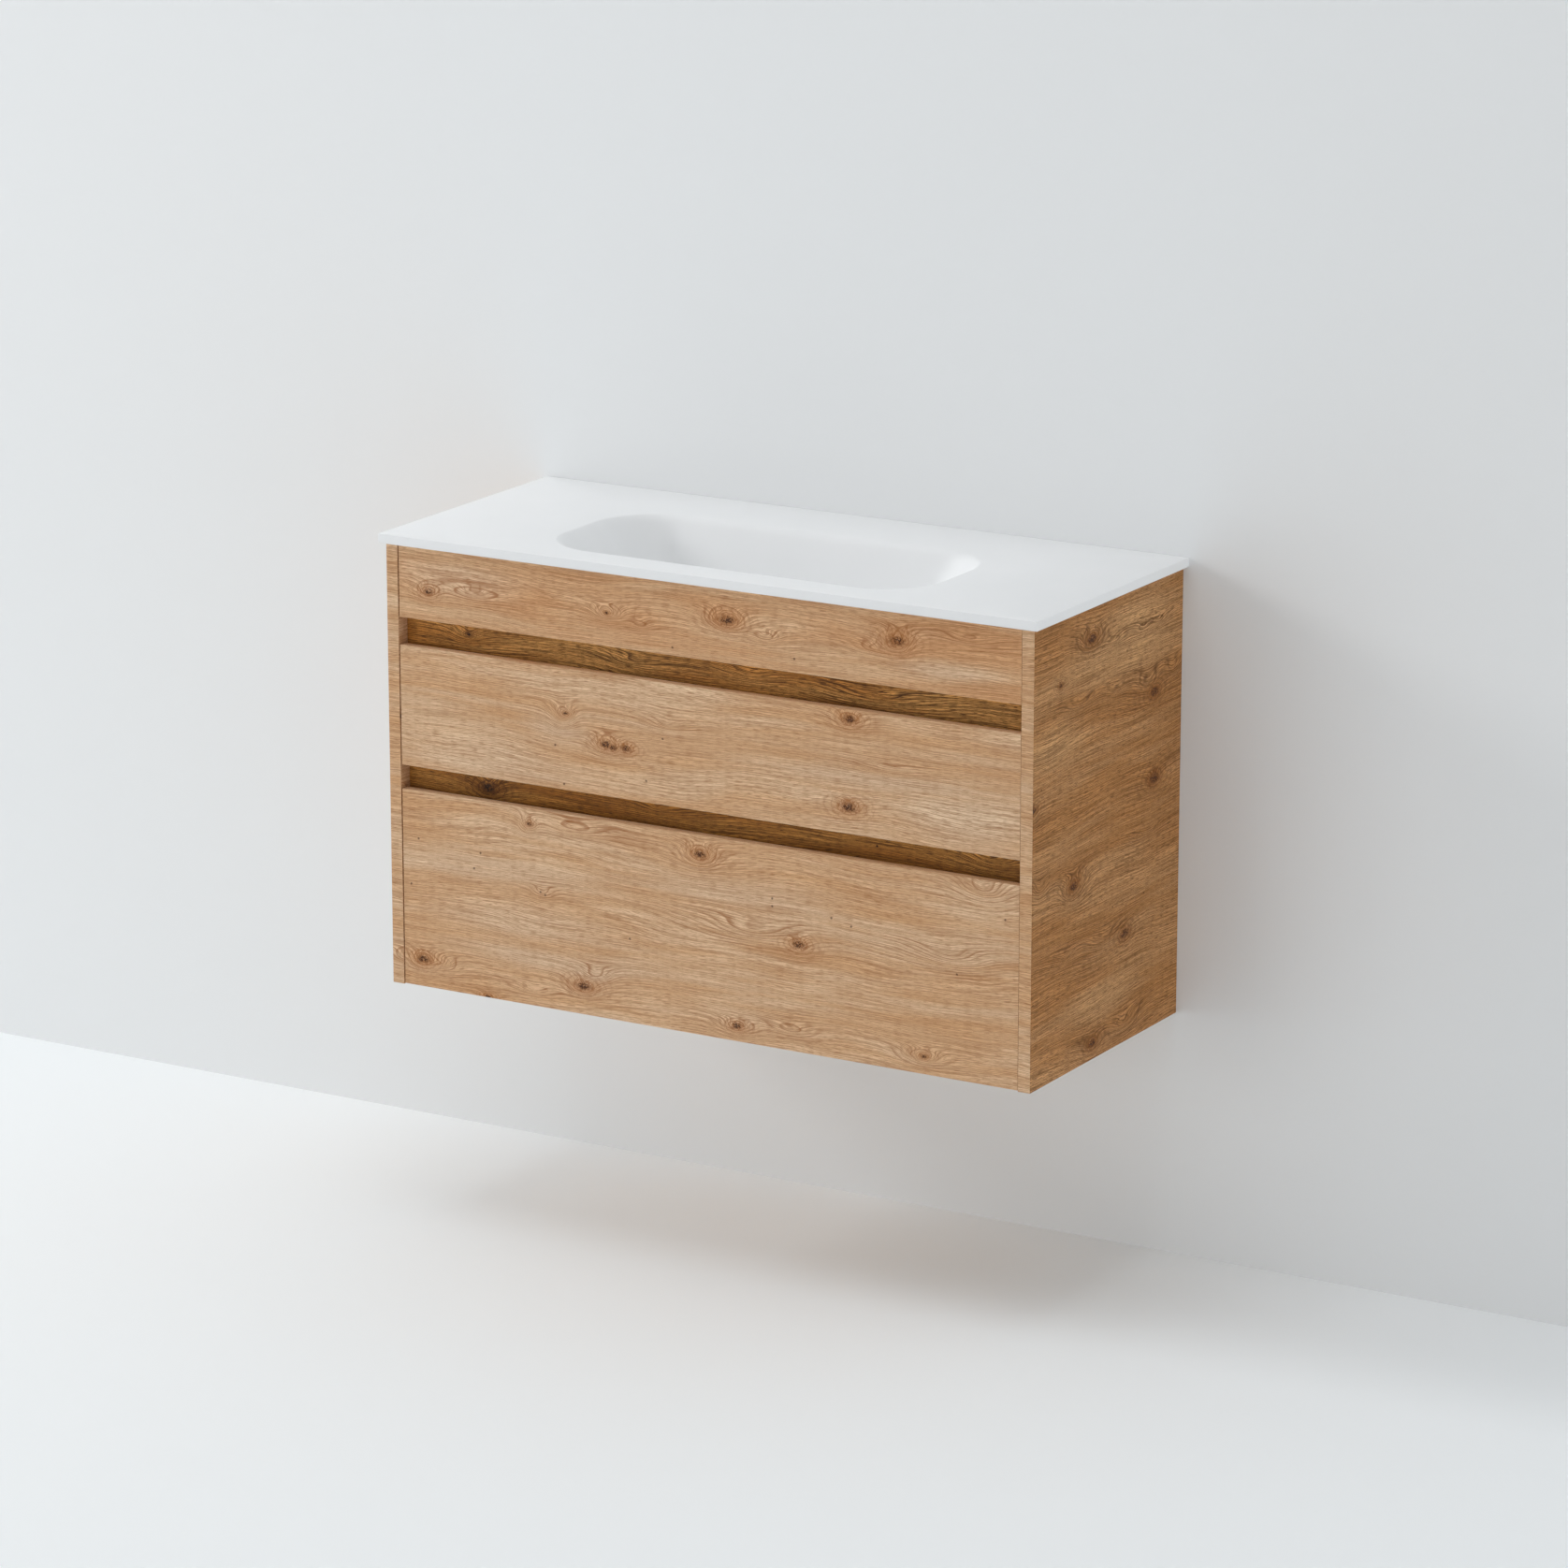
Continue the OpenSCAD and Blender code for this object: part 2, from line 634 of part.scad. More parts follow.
// Cages with two rows of balls; v is the height of the race's centre, shown in the runner's middle
module ball_cages(z, v) color(zinc) both_sides() translate([half_in - track_x - track_w/2, 0, z + v]) {
    row_x = middle_w/2 - ball_d;
    pitch = (cage_l - 4*ball_d)/(ball_count - 1);
    half_count = (ball_count - 1)/2;
    spots = [for (sx = [-1, 1], i = [-half_count:half_count]) [sx*row_x, runner_cy + i*pitch, 0]];
    difference() {
        block([-middle_w/2, runner_cy - cage_l/2, -cage_t/2], [middle_w/2, runner_cy + cage_l/2, cage_t/2]);
        for (spot = spots) translate(spot) cylinder(d = ball_d + 2*fit_gap, h = 4, center = true);
    }
    for (spot = spots) translate(spot) sphere(d = ball_d);
}

module outer_cages(z) ball_cages(z, base_top + race/2);

module inner_cages(z) ball_cages(z, middle_top + race/2);

// Sealed soft-close dampers, on the inner half of the cabinet members
module runner_dampers() color(grey_plastic)
    for (z = [upper_box_z[0], lower_box_z[0]]) both_sides()
        translate([half_in - track_x - track_w - tab_w/2, runner_y1 - 6 - damper_l, z + base_top]) {
            barrel_r = tab_w/2 - 2;
            sole_t = 3;
            cap_l = 2;
            block([-barrel_r, 0, 0], [barrel_r, damper_l, sole_t]);
            translate([0, cap_l, barrel_r]) rotate([-90, 0, 0])
                cylinder(r = barrel_r, h = damper_l - 2*cap_l);
        }

// ---- Drawers ----

// A front with a finger rebate along the back of its upper edge
module drawer_front(z0, z1, box_z) color(oak) difference() {
    along_x(front_x[0], front_x[1])
        polygon([[front_y, z0], [front_back_y, z0], [front_back_y, z1 - finger_h],
                 [front_y + finger_land, z1 - finger_h + board_t - finger_land],
                 [front_y + finger_land, z1], [front_y, z1]]);
    at_front_screws(box_z) screw_hole(box_t + bite);
}

// Places of the dowels in a drawer side, as [y, z], for the boards at its front and back
function box_spots(box_z, z0) = [for (z = [z0 + 18, box_z[1] - 18]) z];
function front_spots(box_z) = [for (z = box_spots(box_z, box_z[0])) [box_y0 + box_t/2, z]];
function back_spots(box_z) =
    [for (z = box_spots(box_z, box_z[0] + floor_rise + floor_t)) [box_y1 - box_t/2, z]];
function side_spots(box_z) = concat(front_spots(box_z), back_spots(box_z));

module drawer_side(box_z, side) color(melamine) to_side(side) difference() {
    block([half_room, box_y0, box_z[0]], [half_box, box_y1, box_z[1]]);
    dowel_holes(side_spots(box_z), half_room);
}

module inner_front(box_z) color(melamine) difference() {
    block([-half_room, box_y0, box_z[0]], [half_room, box_y0 + box_t, box_z[1]]);
    dowel_holes(front_spots(box_z), half_room);
    at_front_screws(box_z) screw_hole(box_t);
}

// The back, or the part of it between x0 and x1
module drawer_back(box_z, x0, x1) color(melamine) difference() {
    block([x0, box_y1 - box_t, box_z[0] + floor_rise + floor_t], [x1, box_y1, box_z[1]]);
    dowel_holes(back_spots(box_z), half_room);
}

module drawer_floor(box_z) color(melamine) difference() {
    z0 = box_z[0] + floor_rise;
    block([-half_room, box_y0 + box_t, z0], [half_room, box_y1, z0 + floor_t]);
    at_tab_screws(box_z) screw_hole(steel_t + floor_t - 3);
    children();
}

module notch_cut()
    block([-notch_w/2, notch_y, upper_box_z[0]], [notch_w/2, box_y1 + 1, upper_box_z[1]]);

module notch_side(side) color(melamine) to_side(side)
    block([notch_w/2, notch_y, upper_box_z[0] + floor_rise + floor_t],
          [notch_w/2 + box_t, box_y1 - box_t, upper_box_z[1]]);

module notch_front() color(melamine)
    block([-notch_w/2 - box_t, notch_y - box_t, upper_box_z[0] + floor_rise + floor_t],
          [notch_w/2 + box_t, notch_y, upper_box_z[1]]);

module drawer_screws(box_z) color(zinc) {
    at_front_screws(box_z) screw(box_t + bite);
    at_tab_screws(box_z) screw(steel_t + floor_t - 3);
}

module drawer_dowels(box_z) color(beech) dowels(side_spots(box_z), half_room);

// Lowers the cabinet so that the wall screws' line lies at the origin
module hung() translate([0, 0, -hang_z]) children();

hung() side_panel("left");  // side_panel_left
hung() side_panel("right");  // side_panel_right
hung() bottom_panel();
hung() rear_rail_upper();
hung() rear_rail_lower();
hung() grip_rail_upper();
hung() grip_rail_lower();
hung() fascia();
hung() fascia_spacers();
hung() carcass_dowels();
hung() carcass_screws();
hung() front_bumpers();
hung() hanger("left");  // hanger_left
hung() hanger("right");  // hanger_right
hung() hanger_hooks();
hung() hanger_adjusters();
hung() wall_plates();
hung() washbasin();
hung() basin_bond();
hung() waste_body();
hung() waste_cartridge();
hung() waste_seals();
hung() waste_nut();
hung() waste_plug();
hung() plug_ring();
hung() cabinet_member(upper_box_z[0], "left");  // upper_runner_left
hung() cabinet_member(upper_box_z[0], "right");  // upper_runner_right
hung() cabinet_member(lower_box_z[0], "left");  // lower_runner_left
hung() cabinet_member(lower_box_z[0], "right");  // lower_runner_right
hung() runner_dampers();
hung() middle_members(upper_box_z[0]);  // upper_middle_members
hung() middle_members(lower_box_z[0]);  // lower_middle_members
hung() outer_cages(upper_box_z[0]);  // upper_outer_cages
hung() inner_cages(upper_box_z[0]);  // upper_inner_cages
hung() outer_cages(lower_box_z[0]);  // lower_outer_cages
hung() inner_cages(lower_box_z[0]);  // lower_inner_cages
hung() drawer_front(upper_z0, upper_z1, upper_box_z);  // upper_front
hung() inner_front(upper_box_z);  // upper_inner_front
hung() drawer_side(upper_box_z, "left");  // upper_side_left
hung() drawer_side(upper_box_z, "right");  // upper_side_right
hung() drawer_back(upper_box_z, -half_room, -notch_w/2);  // upper_back_left
hung() drawer_back(upper_box_z, notch_w/2, half_room);  // upper_back_right
hung() drawer_floor(upper_box_z) notch_cut();  // upper_floor
hung() notch_side("left");  // upper_notch_left
hung() notch_side("right");  // upper_notch_right
hung() notch_front();  // upper_notch_front
hung() drawer_member(upper_box_z, "left");  // upper_slide_left
hung() drawer_member(upper_box_z, "right");  // upper_slide_right
hung() drawer_screws(upper_box_z);  // upper_screws
hung() drawer_dowels(upper_box_z);  // upper_dowels
hung() drawer_front(lower_z0, lower_z1, lower_box_z);  // lower_front
hung() inner_front(lower_box_z);  // lower_inner_front
hung() drawer_side(lower_box_z, "left");  // lower_side_left
hung() drawer_side(lower_box_z, "right");  // lower_side_right
hung() drawer_back(lower_box_z, -half_room, half_room);  // lower_back
hung() drawer_floor(lower_box_z);  // lower_floor
hung() drawer_member(lower_box_z, "left");  // lower_slide_left
hung() drawer_member(lower_box_z, "right");  // lower_slide_right
hung() drawer_screws(lower_box_z);  // lower_screws
hung() drawer_dowels(lower_box_z);  // lower_dowels
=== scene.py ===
import json
import math
import bmesh
import bpy
from mathutils import Matrix, Vector


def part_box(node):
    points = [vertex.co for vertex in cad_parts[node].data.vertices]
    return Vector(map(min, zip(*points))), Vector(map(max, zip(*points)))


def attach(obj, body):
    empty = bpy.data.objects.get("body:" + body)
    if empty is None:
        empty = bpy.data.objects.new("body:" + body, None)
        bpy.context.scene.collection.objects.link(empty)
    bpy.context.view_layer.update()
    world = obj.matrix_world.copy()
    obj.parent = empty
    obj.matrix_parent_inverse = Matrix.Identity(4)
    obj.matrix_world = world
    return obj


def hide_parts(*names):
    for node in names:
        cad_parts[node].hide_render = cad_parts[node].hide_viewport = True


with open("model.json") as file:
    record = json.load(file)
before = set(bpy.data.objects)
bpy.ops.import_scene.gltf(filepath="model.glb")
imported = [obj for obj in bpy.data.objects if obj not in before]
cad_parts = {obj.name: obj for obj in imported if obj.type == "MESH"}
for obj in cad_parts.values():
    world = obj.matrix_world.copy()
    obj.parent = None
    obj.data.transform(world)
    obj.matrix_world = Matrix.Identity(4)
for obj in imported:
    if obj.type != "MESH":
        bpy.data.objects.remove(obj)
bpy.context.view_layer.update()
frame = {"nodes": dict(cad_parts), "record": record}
nodes = frame["nodes"]
mm = 0.001
bodyOf = {node: body for body, members in frame["record"]["behaviour"]["bodies"].items() for node in members}
print("frame loaded,", len(nodes), "nodes")


# helpers

def linear(code):
    parts = [int(code[i:i + 2], 16) / 255 for i in (1, 3, 5)]
    return [p / 12.92 if p < 0.04045 else ((p + 0.055) / 1.055) ** 2.4 for p in parts] + [1.0]


def addNode(tree, kind, settings=None, links=None):
    node = tree.nodes.new("ShaderNode" + kind)
    for key, value in (settings or {}).items():
        if isinstance(key, int) or key in node.inputs:
            node.inputs[key].default_value = value
        else:
            setattr(node, key, value)
    for key, source in (links or {}).items():
        tree.links.new(source, node.inputs[key])
    return node


flatNoise = {"noise_dimensions": "2D", "Scale": 1}   # mostly sized by a Mapping before it
soft = {"interpolation_type": "SMOOTHSTEP"}


def newMaterial(name):
    material = bpy.data.materials.new(name)
    material.use_nodes = True
    material.node_tree.nodes.clear()
    return material, material.node_tree


def finishMaterial(tree, shader, bump=None):
    if bump:
        tree.links.new(bump.outputs["Normal"], shader.inputs["Normal"])
    addNode(tree, "OutputMaterial", links={"Surface": shader.outputs["BSDF"]})


# the camera stands where the photograph was taken from
view = {
    "place": (4.1798, -7.3135, 1.9908),
    "azimuth": 30.45,
    "elevation": 15.0,
    "lens": 143.9,
    "sensor": 36,
    "farthest": 60,
}


def makeCamera():
    data = bpy.data.cameras.new("camera")
    data.lens = view["lens"]
    data.sensor_width = view["sensor"]
    data.clip_end = view["farthest"]
    camera = bpy.data.objects.new("camera", data)
    camera.location = view["place"]
    camera.rotation_euler = (math.radians(90 - view["elevation"]), 0, math.radians(view["azimuth"]))
    bpy.context.scene.collection.objects.link(camera)
    bpy.context.scene.camera = camera


makeCamera()
print("camera set")


# mesh helpers

def finishPiece(bm, name, materials, node, smoothAngle=None):
    bmesh.ops.recalc_face_normals(bm, faces=bm.faces)
    mesh = bpy.data.meshes.new(name)
    bm.to_mesh(mesh)
    bm.free()
    for material in materials:
        mesh.materials.append(material)
    if smoothAngle:
        mesh.shade_smooth()
        mesh.set_sharp_from_angle(angle=math.radians(smoothAngle))
    piece = bpy.data.objects.new(name, mesh)
    bpy.context.scene.collection.objects.link(piece)
    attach(piece, bodyOf[node])
    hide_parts(node)


elsewhere = 2.0   # metres up the decor to the stretch that lies on level faces


def mapGrain(bm):
    # the grain runs along X, on end faces along Y
    layer = bm.loops.layers.uv.new("grain")
    for face in bm.faces:
        n = face.normal
        axis = max(range(3), key=lambda i: abs(n[i]))
        for loop in face.loops:
            p = loop.vert.co
            if axis == 0:
                u, v = p.y, p.z
            elif axis == 1:
                u, v = p.x, p.z
            else:
                u, v = p.x, p.y + elsewhere
            loop[layer].uv = (u, v)


# oak decor: colours, and how strong and how wide its markings are
oak = {
    "pale": "#F1D0AA",
    "mid": "#E7BE93",
    "warm": "#D69D63",
    "streak": "#9C5F31",
    "pore": "#945A2A",
    "halo": "#BA7A3C",
    "core": "#804515",
    "crack": "#3A1A06",
    "fair": "#F5DDBE",
    "roughness": 0.52,
    "dashRoughness": 0.16,   # how much rougher the embossed dashes are
    "gloss": 0.24,
    "force": 1.0,            # strength of all the markings
    "fine": 1.2,             # strength of dashes and pores on top of that
    "plank": 111,            # mm between the rows in which the figure opens
    "row": 24,               # mm from the cabinet's bottom to the first row
    "open": 0.62,            # how far the rings spread in a row, 1 is wide open
    "waver": (143, 38.5),    # mm: length and width of the slow waver of all lines
    "waverBy": (10, 4),      # mm by which it moves them, along and up
    "swell": (294, 133.3),   # mm: length and width of the slow wave that lifts the rings
    "swellBy": 42,           # mm by which it lifts them
    "ring": 5.2,             # mm between growth rings
    "lift": 2.7,             # height of the rings' hill round a knot, in reaches
    "swirlLift": 0.6,        # share of that height where there is no dark heart
    "heartShape": 0.56,      # a heart's height over its length
    "rings": 1.0,            # close rings round a heart, for each of its radii
    "splinter": 5.882,       # mm: coarsest of the roughness that tears the hearts
    "pin": (2.3, 0.8),       # mm from a pin's middle, where its dark begins and where it is full
    "grainDepth": 0.12,      # mm of emboss in the pores
}

# Noises drawn out along the grain: length and width in mm, the limits between which they grow, their detail,
# and whether they follow the rings closely or by half. A real pore is about 0.2 mm wide, which is too fine to
# show, so pores and dashes are drawn coarser.
grain = {
    "band": (420, 60, 0.34, 0.66, 2, "half"),
    "tint": (280, 20, 0.42, 0.68, 2, "half"),
    "vary": (110, 7, 0.35, 0.62, 1, "close"),
    "line": (240, 2.4, 0.44, 0.7, 2, "close"),
    "dash": (125, 0.9, 0.36, 0.66, 1, "half"),
    "pore": (15, 0.45, 0.5, 0.64, 1, "half"),
}

# How strongly each marking covers those before it, and in which colour.
markings = {
    "tint": (0.3, "warm"),
    "fair": (0.5, "fair"),
    "line": (0.13, "streak"),
    "ring": (0.68, "streak"),
    "dash": (0.4, "pore"),
    "pore": (0.46, "pore"),
    "halo": (0.34, "halo"),
    "eye": (0.5, "streak"),
    "core": (0.45, "core"),
    "crack": (0.9, "crack"),
    "pin": (0.75, "crack"),
}

# Knots as [along, up, reachAlong, reachUp, heart], in mm from the datum: the reach is how far the rings bend
# round one, the heart is the radius of its dark middle, 0 for a bare swirl. Pins are the small dark dots, and
# fair are pale patches as [along, up, reachAlong, reachUp].
fasciaFigure = {
    "seed": 3.1,
    "knots": [[67, 563, 20, 11, 4], [140, 568, 55, 14, 0], [352, 567, 26, 12, 2], [408, 557, 24, 9, 0],
              [538, 580, 30, 16, 6], [600, 565, 30, 12, 0], [799, 584, 22, 20, 6], [765, 569, 34, 10, 0],
              [905, 600, 50, 12, 0]],
    "pins": [[457, 533], [643, 541]],
    "fair": [[110, 596, 130, 16], [870, 566, 90, 14]],
}
upperFigure = {
    "seed": 11.7,
    "knots": [[278, 414, 22, 22, 0], [349, 385, 26, 16, 5], [361, 382, 9, 8, 4], [381, 384, 12, 8, 4.5],
              [450, 425, 34, 10, 0], [724, 470, 24, 11, 5], [726, 350, 18, 10, 6], [790, 410, 60, 12, 0],
              [285, 421, 10, 8, 2]],
    "pins": [[271, 374], [283, 322], [412, 344], [441, 406]],
    "fair": [[150, 350, 180, 36], [270, 412, 60, 26], [760, 396, 200, 20], [900, 360, 110, 30]],
}
lowerFigure = {
    "seed": 23.4,
    "knots": [[225, 258, 12, 12, 2.5], [300, 262, 75, 14, 0], [497, 254, 24, 18, 5], [930, 268, 45, 22, 0],
              [649, 151, 12, 9, 5], [575, 160, 85, 24, 0], [882, 168, 75, 22, 0], [247, 164, 20, 10, 0],
              [49, 40, 22, 14, 5], [80, 38, 30, 12, 0], [311, 42, 24, 16, 5.5], [335, 60, 30, 16, 0],
              [555, 23, 27, 10, 4], [640, 31, 40, 12, 0], [840, 26, 34, 12, 2.5], [232, 24, 40, 10, 0],
              [157, 2, 18, 8, 3]],
    "pins": [[45, 212], [146, 206], [135, 183], [32, 146], [387, 119], [610, 209], [611, 198], [701, 195],
             [731, 188], [889, 146], [962, 231], [244, 164], [252, 161]],
    "fair": [[170, 190, 190, 30], [210, 130, 200, 24], [560, 225, 180, 26], [250, 80, 200, 26]],
}
upperRailFigure = {
    "seed": 37.9,
    "knots": [[765, 499, 90, 18, 0], [560, 506, 50, 12, 0], [120, 505, 30, 12, 2], [380, 500, 50, 12, 0]],
    "pins": [],
    "fair": [],
}
lowerRailFigure = {
    "seed": 44.2,
    "knots": [[147, 293, 26, 18, 6], [420, 300, 50, 12, 0], [930, 300, 50, 20, 0]],
    "pins": [[757, 297]],
    "fair": [],
}
sideFigure = {
    "seed": 58.6,
    "knots": [[-260, 578, 32, 17, 7], [-200, 562, 40, 10, 0], [-115, 563, 30, 10, 0], [-70, 564, 26, 9, 0],
              [-347, 533, 10, 6, 3], [-290, 498, 60, 12, 0], [-190, 496, 50, 14, 0], [-80, 468, 16, 8, 7],
              [-100, 486, 50, 20, 0], [-25, 492, 30, 14, 0], [-77, 349, 16, 10, 8], [-418, 383, 8, 10, 5],
              [-305, 253, 30, 20, 7], [-400, 272, 24, 16, 0], [-90, 280, 50, 10, 0], [-157, 152, 12, 9, 7],
              [-215, 160, 70, 18, 0], [-330, 162, 50, 14, 0], [-247, 22, 22, 10, 6], [-155, 30, 44, 16, 0]],
    "pins": [[-192, 198], [-102, 195], [-160, 541], [-416, 118], [-398, 405]],
    "fair": [[-170, 570, 190, 60], [-360, 470, 90, 30], [-230, 90, 150, 30]],
}
plainFigure = {
    "seed": 71.3,
    "knots": [[30, 40, 40, 14, 3], [-290, 120, 60, 14, 0]],
    "pins": [],
    "fair": [],
}
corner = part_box("side_panel_left")[0] / mm
datum = Vector((corner.x, corner.z))   # lower left corner of the front
sideDatum = Vector((0, corner.z))      # lower corner of the side at the wall


def fromSpot(tree, field, spot, radii):
    # the way from a spot, counted in its radii along and across the grain
    scale = (1 / radii[0], 1 / radii[1], 0)
    away = (-spot.x * scale[0], -spot.y * scale[1], 0)
    return addNode(tree, "VectorMath", {"operation": "MULTIPLY_ADD", 1: scale, 2: away},
                   {0: field}).outputs[0]


def fold(tree, operation, sources):
    # one value out of many, such as the smallest
    result = sources[0]
    for source in sources[1:]:
        result = addNode(tree, "Math", {"operation": operation}, {0: result, 1: source}).outputs[0]
    return result


def waverLines(tree, place, tone):
    # the lines waver a little, slowly along the grain
    (length, width), (along, up) = tone["waver"], tone["waverBy"]
    slow = addNode(tree, "Mapping", {"Scale": (1000 / length, 1000 / width, 1)}, {"Vector": place})
    shake = addNode(tree, "TexNoise", {**flatNoise, "Detail": 3, "Roughness": 0.5},
                    {"Vector": slow.outputs[0]})
    shift = addNode(tree, "VectorMath", {"operation": "SUBTRACT", 1: (0.5, 0.5, 0.5)},
                    {0: shake.outputs["Color"]})
    return addNode(tree, "VectorMath", {"operation": "MULTIPLY_ADD", 1: (along * mm, up * mm, 0)},
                   {0: shift.outputs[0], 2: place}).outputs[0]


def growLayers(tree, bent, up, figure, start, tone):
    # height of the grown layers: open in rows along the planks, steep between them, in a slow wave
    length, width = tone["swell"]
    far = addNode(tree, "Mapping", {"Location": (figure["seed"], figure["seed"], 0),
                                    "Scale": (1000 / length, 1000 / width, 1)}, {"Vector": bent})
    wave = addNode(tree, "TexNoise", {**flatNoise, "Detail": 1.5, "Roughness": 0.5},
                   {"Vector": far.outputs[0]})
    turn = 2 * math.pi / (tone["plank"] * mm)
    row = (tone["row"] + start.y) * mm
    angle = addNode(tree, "Math", {"operation": "MULTIPLY_ADD", 1: turn, 2: -row * turn}, {0: up})
    sine = addNode(tree, "Math", {"operation": "SINE"}, {0: angle.outputs[0]})
    height = addNode(tree, "Math", {"operation": "MULTIPLY_ADD", 1: -tone["open"] / turn},
                     {0: sine.outputs[0], 2: up}).outputs[0]
    height = addNode(tree, "Math", {"operation": "MULTIPLY_ADD", 1: tone["swellBy"] * mm},
                     {0: wave.outputs["Fac"], 2: height}).outputs[0]
    # each knot is a hill in that height
    hills = []
    for along, across, reachAlong, reachUp, dark in figure["knots"]:
        spot = (Vector((along, across)) + start) * mm
        off = fromSpot(tree, bent, spot, (reachAlong * mm, reachUp * mm))
        square = addNode(tree, "VectorMath", {"operation": "DOT_PRODUCT"}, {0: off, 1: off})
        plus = addNode(tree, "Math", {"operation": "ADD", 1: 1}, {0: square.outputs["Value"]})
        hill = addNode(tree, "Math", {"operation": "POWER", 1: -1.5}, {0: plus.outputs[0]}).outputs[0]
        hills.append(hill)
        rise = tone["lift"] * (1 if dark else tone["swirlLift"]) * reachUp * mm
        height = addNode(tree, "Math", {"operation": "MULTIPLY_ADD", 1: rise},
                         {0: hill, 2: height}).outputs[0]
    return height, fold(tree, "MAXIMUM", hills)


def drawRings(tree, height, figured, vary, tone):
    # growth rings: a dark edge that fades to the next one, strong where the figure opens
    turns = addNode(tree, "Math", {"operation": "DIVIDE", 1: tone["ring"] * mm}, {0: height})
    phase = addNode(tree, "Math", {"operation": "FRACT"}, {0: turns.outputs[0]}).outputs[0]
    edge = addNode(tree, "MapRange", {**soft, "From Min": 0.0, "From Max": 0.12}, {"Value": phase}).outputs[0]
    fade = addNode(tree, "MapRange", {**soft, "From Min": 0.6, "From Max": 0.12}, {"Value": phase}).outputs[0]
    strength = addNode(tree, "MapRange", {"From Min": 0.03, "From Max": 0.3, "To Min": 0.16, "To Max": 1.0},
                       {"Value": figured}).outputs[0]
    broken = addNode(tree, "MapRange", {"To Min": 0.25}, {"Value": vary}).outputs[0]
    return fold(tree, "MULTIPLY", [edge, fade, strength, broken])


def drawHearts(tree, place, bent, figure, start, tone):
    # a red-brown halo, a brown heart torn at its rim, dark cracks through it and close, uneven rings round it
    hearts = []
    for along, across, reachAlong, reachUp, dark in figure["knots"]:
        if dark:
            spot = (Vector((along, across)) + start) * mm
            off = fromSpot(tree, bent, spot, (dark * mm / tone["heartShape"], dark * mm))
            hearts.append(addNode(tree, "VectorMath", {"operation": "LENGTH"}, {0: off}).outputs["Value"])
    heart = fold(tree, "MINIMUM", hearts)
    rough = addNode(tree, "TexNoise", {**flatNoise, "Scale": 1000 / tone["splinter"], "Detail": 3,
                                       "Roughness": 0.7}, {"Vector": place}).outputs["Fac"]
    torn = addNode(tree, "Math", {"operation": "MULTIPLY_ADD", 1: -3.0}, {0: rough, 2: heart}).outputs[0]
    middle = addNode(tree, "Math", {"operation": "SUBTRACT", 1: 0.5}, {0: rough})
    ridge = addNode(tree, "Math", {"operation": "ABSOLUTE"}, {0: middle.outputs[0]})
    split = addNode(tree, "Math", {"operation": "MULTIPLY_ADD", 1: 9.0},
                    {0: ridge.outputs[0], 2: heart}).outputs[0]
    worn = addNode(tree, "Math", {"operation": "MULTIPLY_ADD", 1: 1.3}, {0: rough, 2: heart})
    angle = addNode(tree, "Math", {"operation": "MULTIPLY", 1: 2 * math.pi * tone["rings"]},
                    {0: worn.outputs[0]})
    beat = addNode(tree, "Math", {"operation": "SINE"}, {0: angle.outputs[0]})
    crest = addNode(tree, "MapRange", {**soft, "From Min": 0.1, "From Max": 0.95}, {"Value": beat.outputs[0]})
    reach = addNode(tree, "MapRange", {"From Min": 5.5, "From Max": 1.6}, {"Value": heart})
    drawn = {"eye": fold(tree, "MULTIPLY", [crest.outputs[0], reach.outputs[0]])}
    for key, source, low, high in (("halo", heart, 3.4, 0.6), ("core", torn, 0.1, -0.5),
                                   ("crack", split, 1.35, 0.9)):
        drawn[key] = addNode(tree, "MapRange", {**soft, "From Min": low, "From Max": high},
                             {"Value": source}).outputs[0]
    return drawn


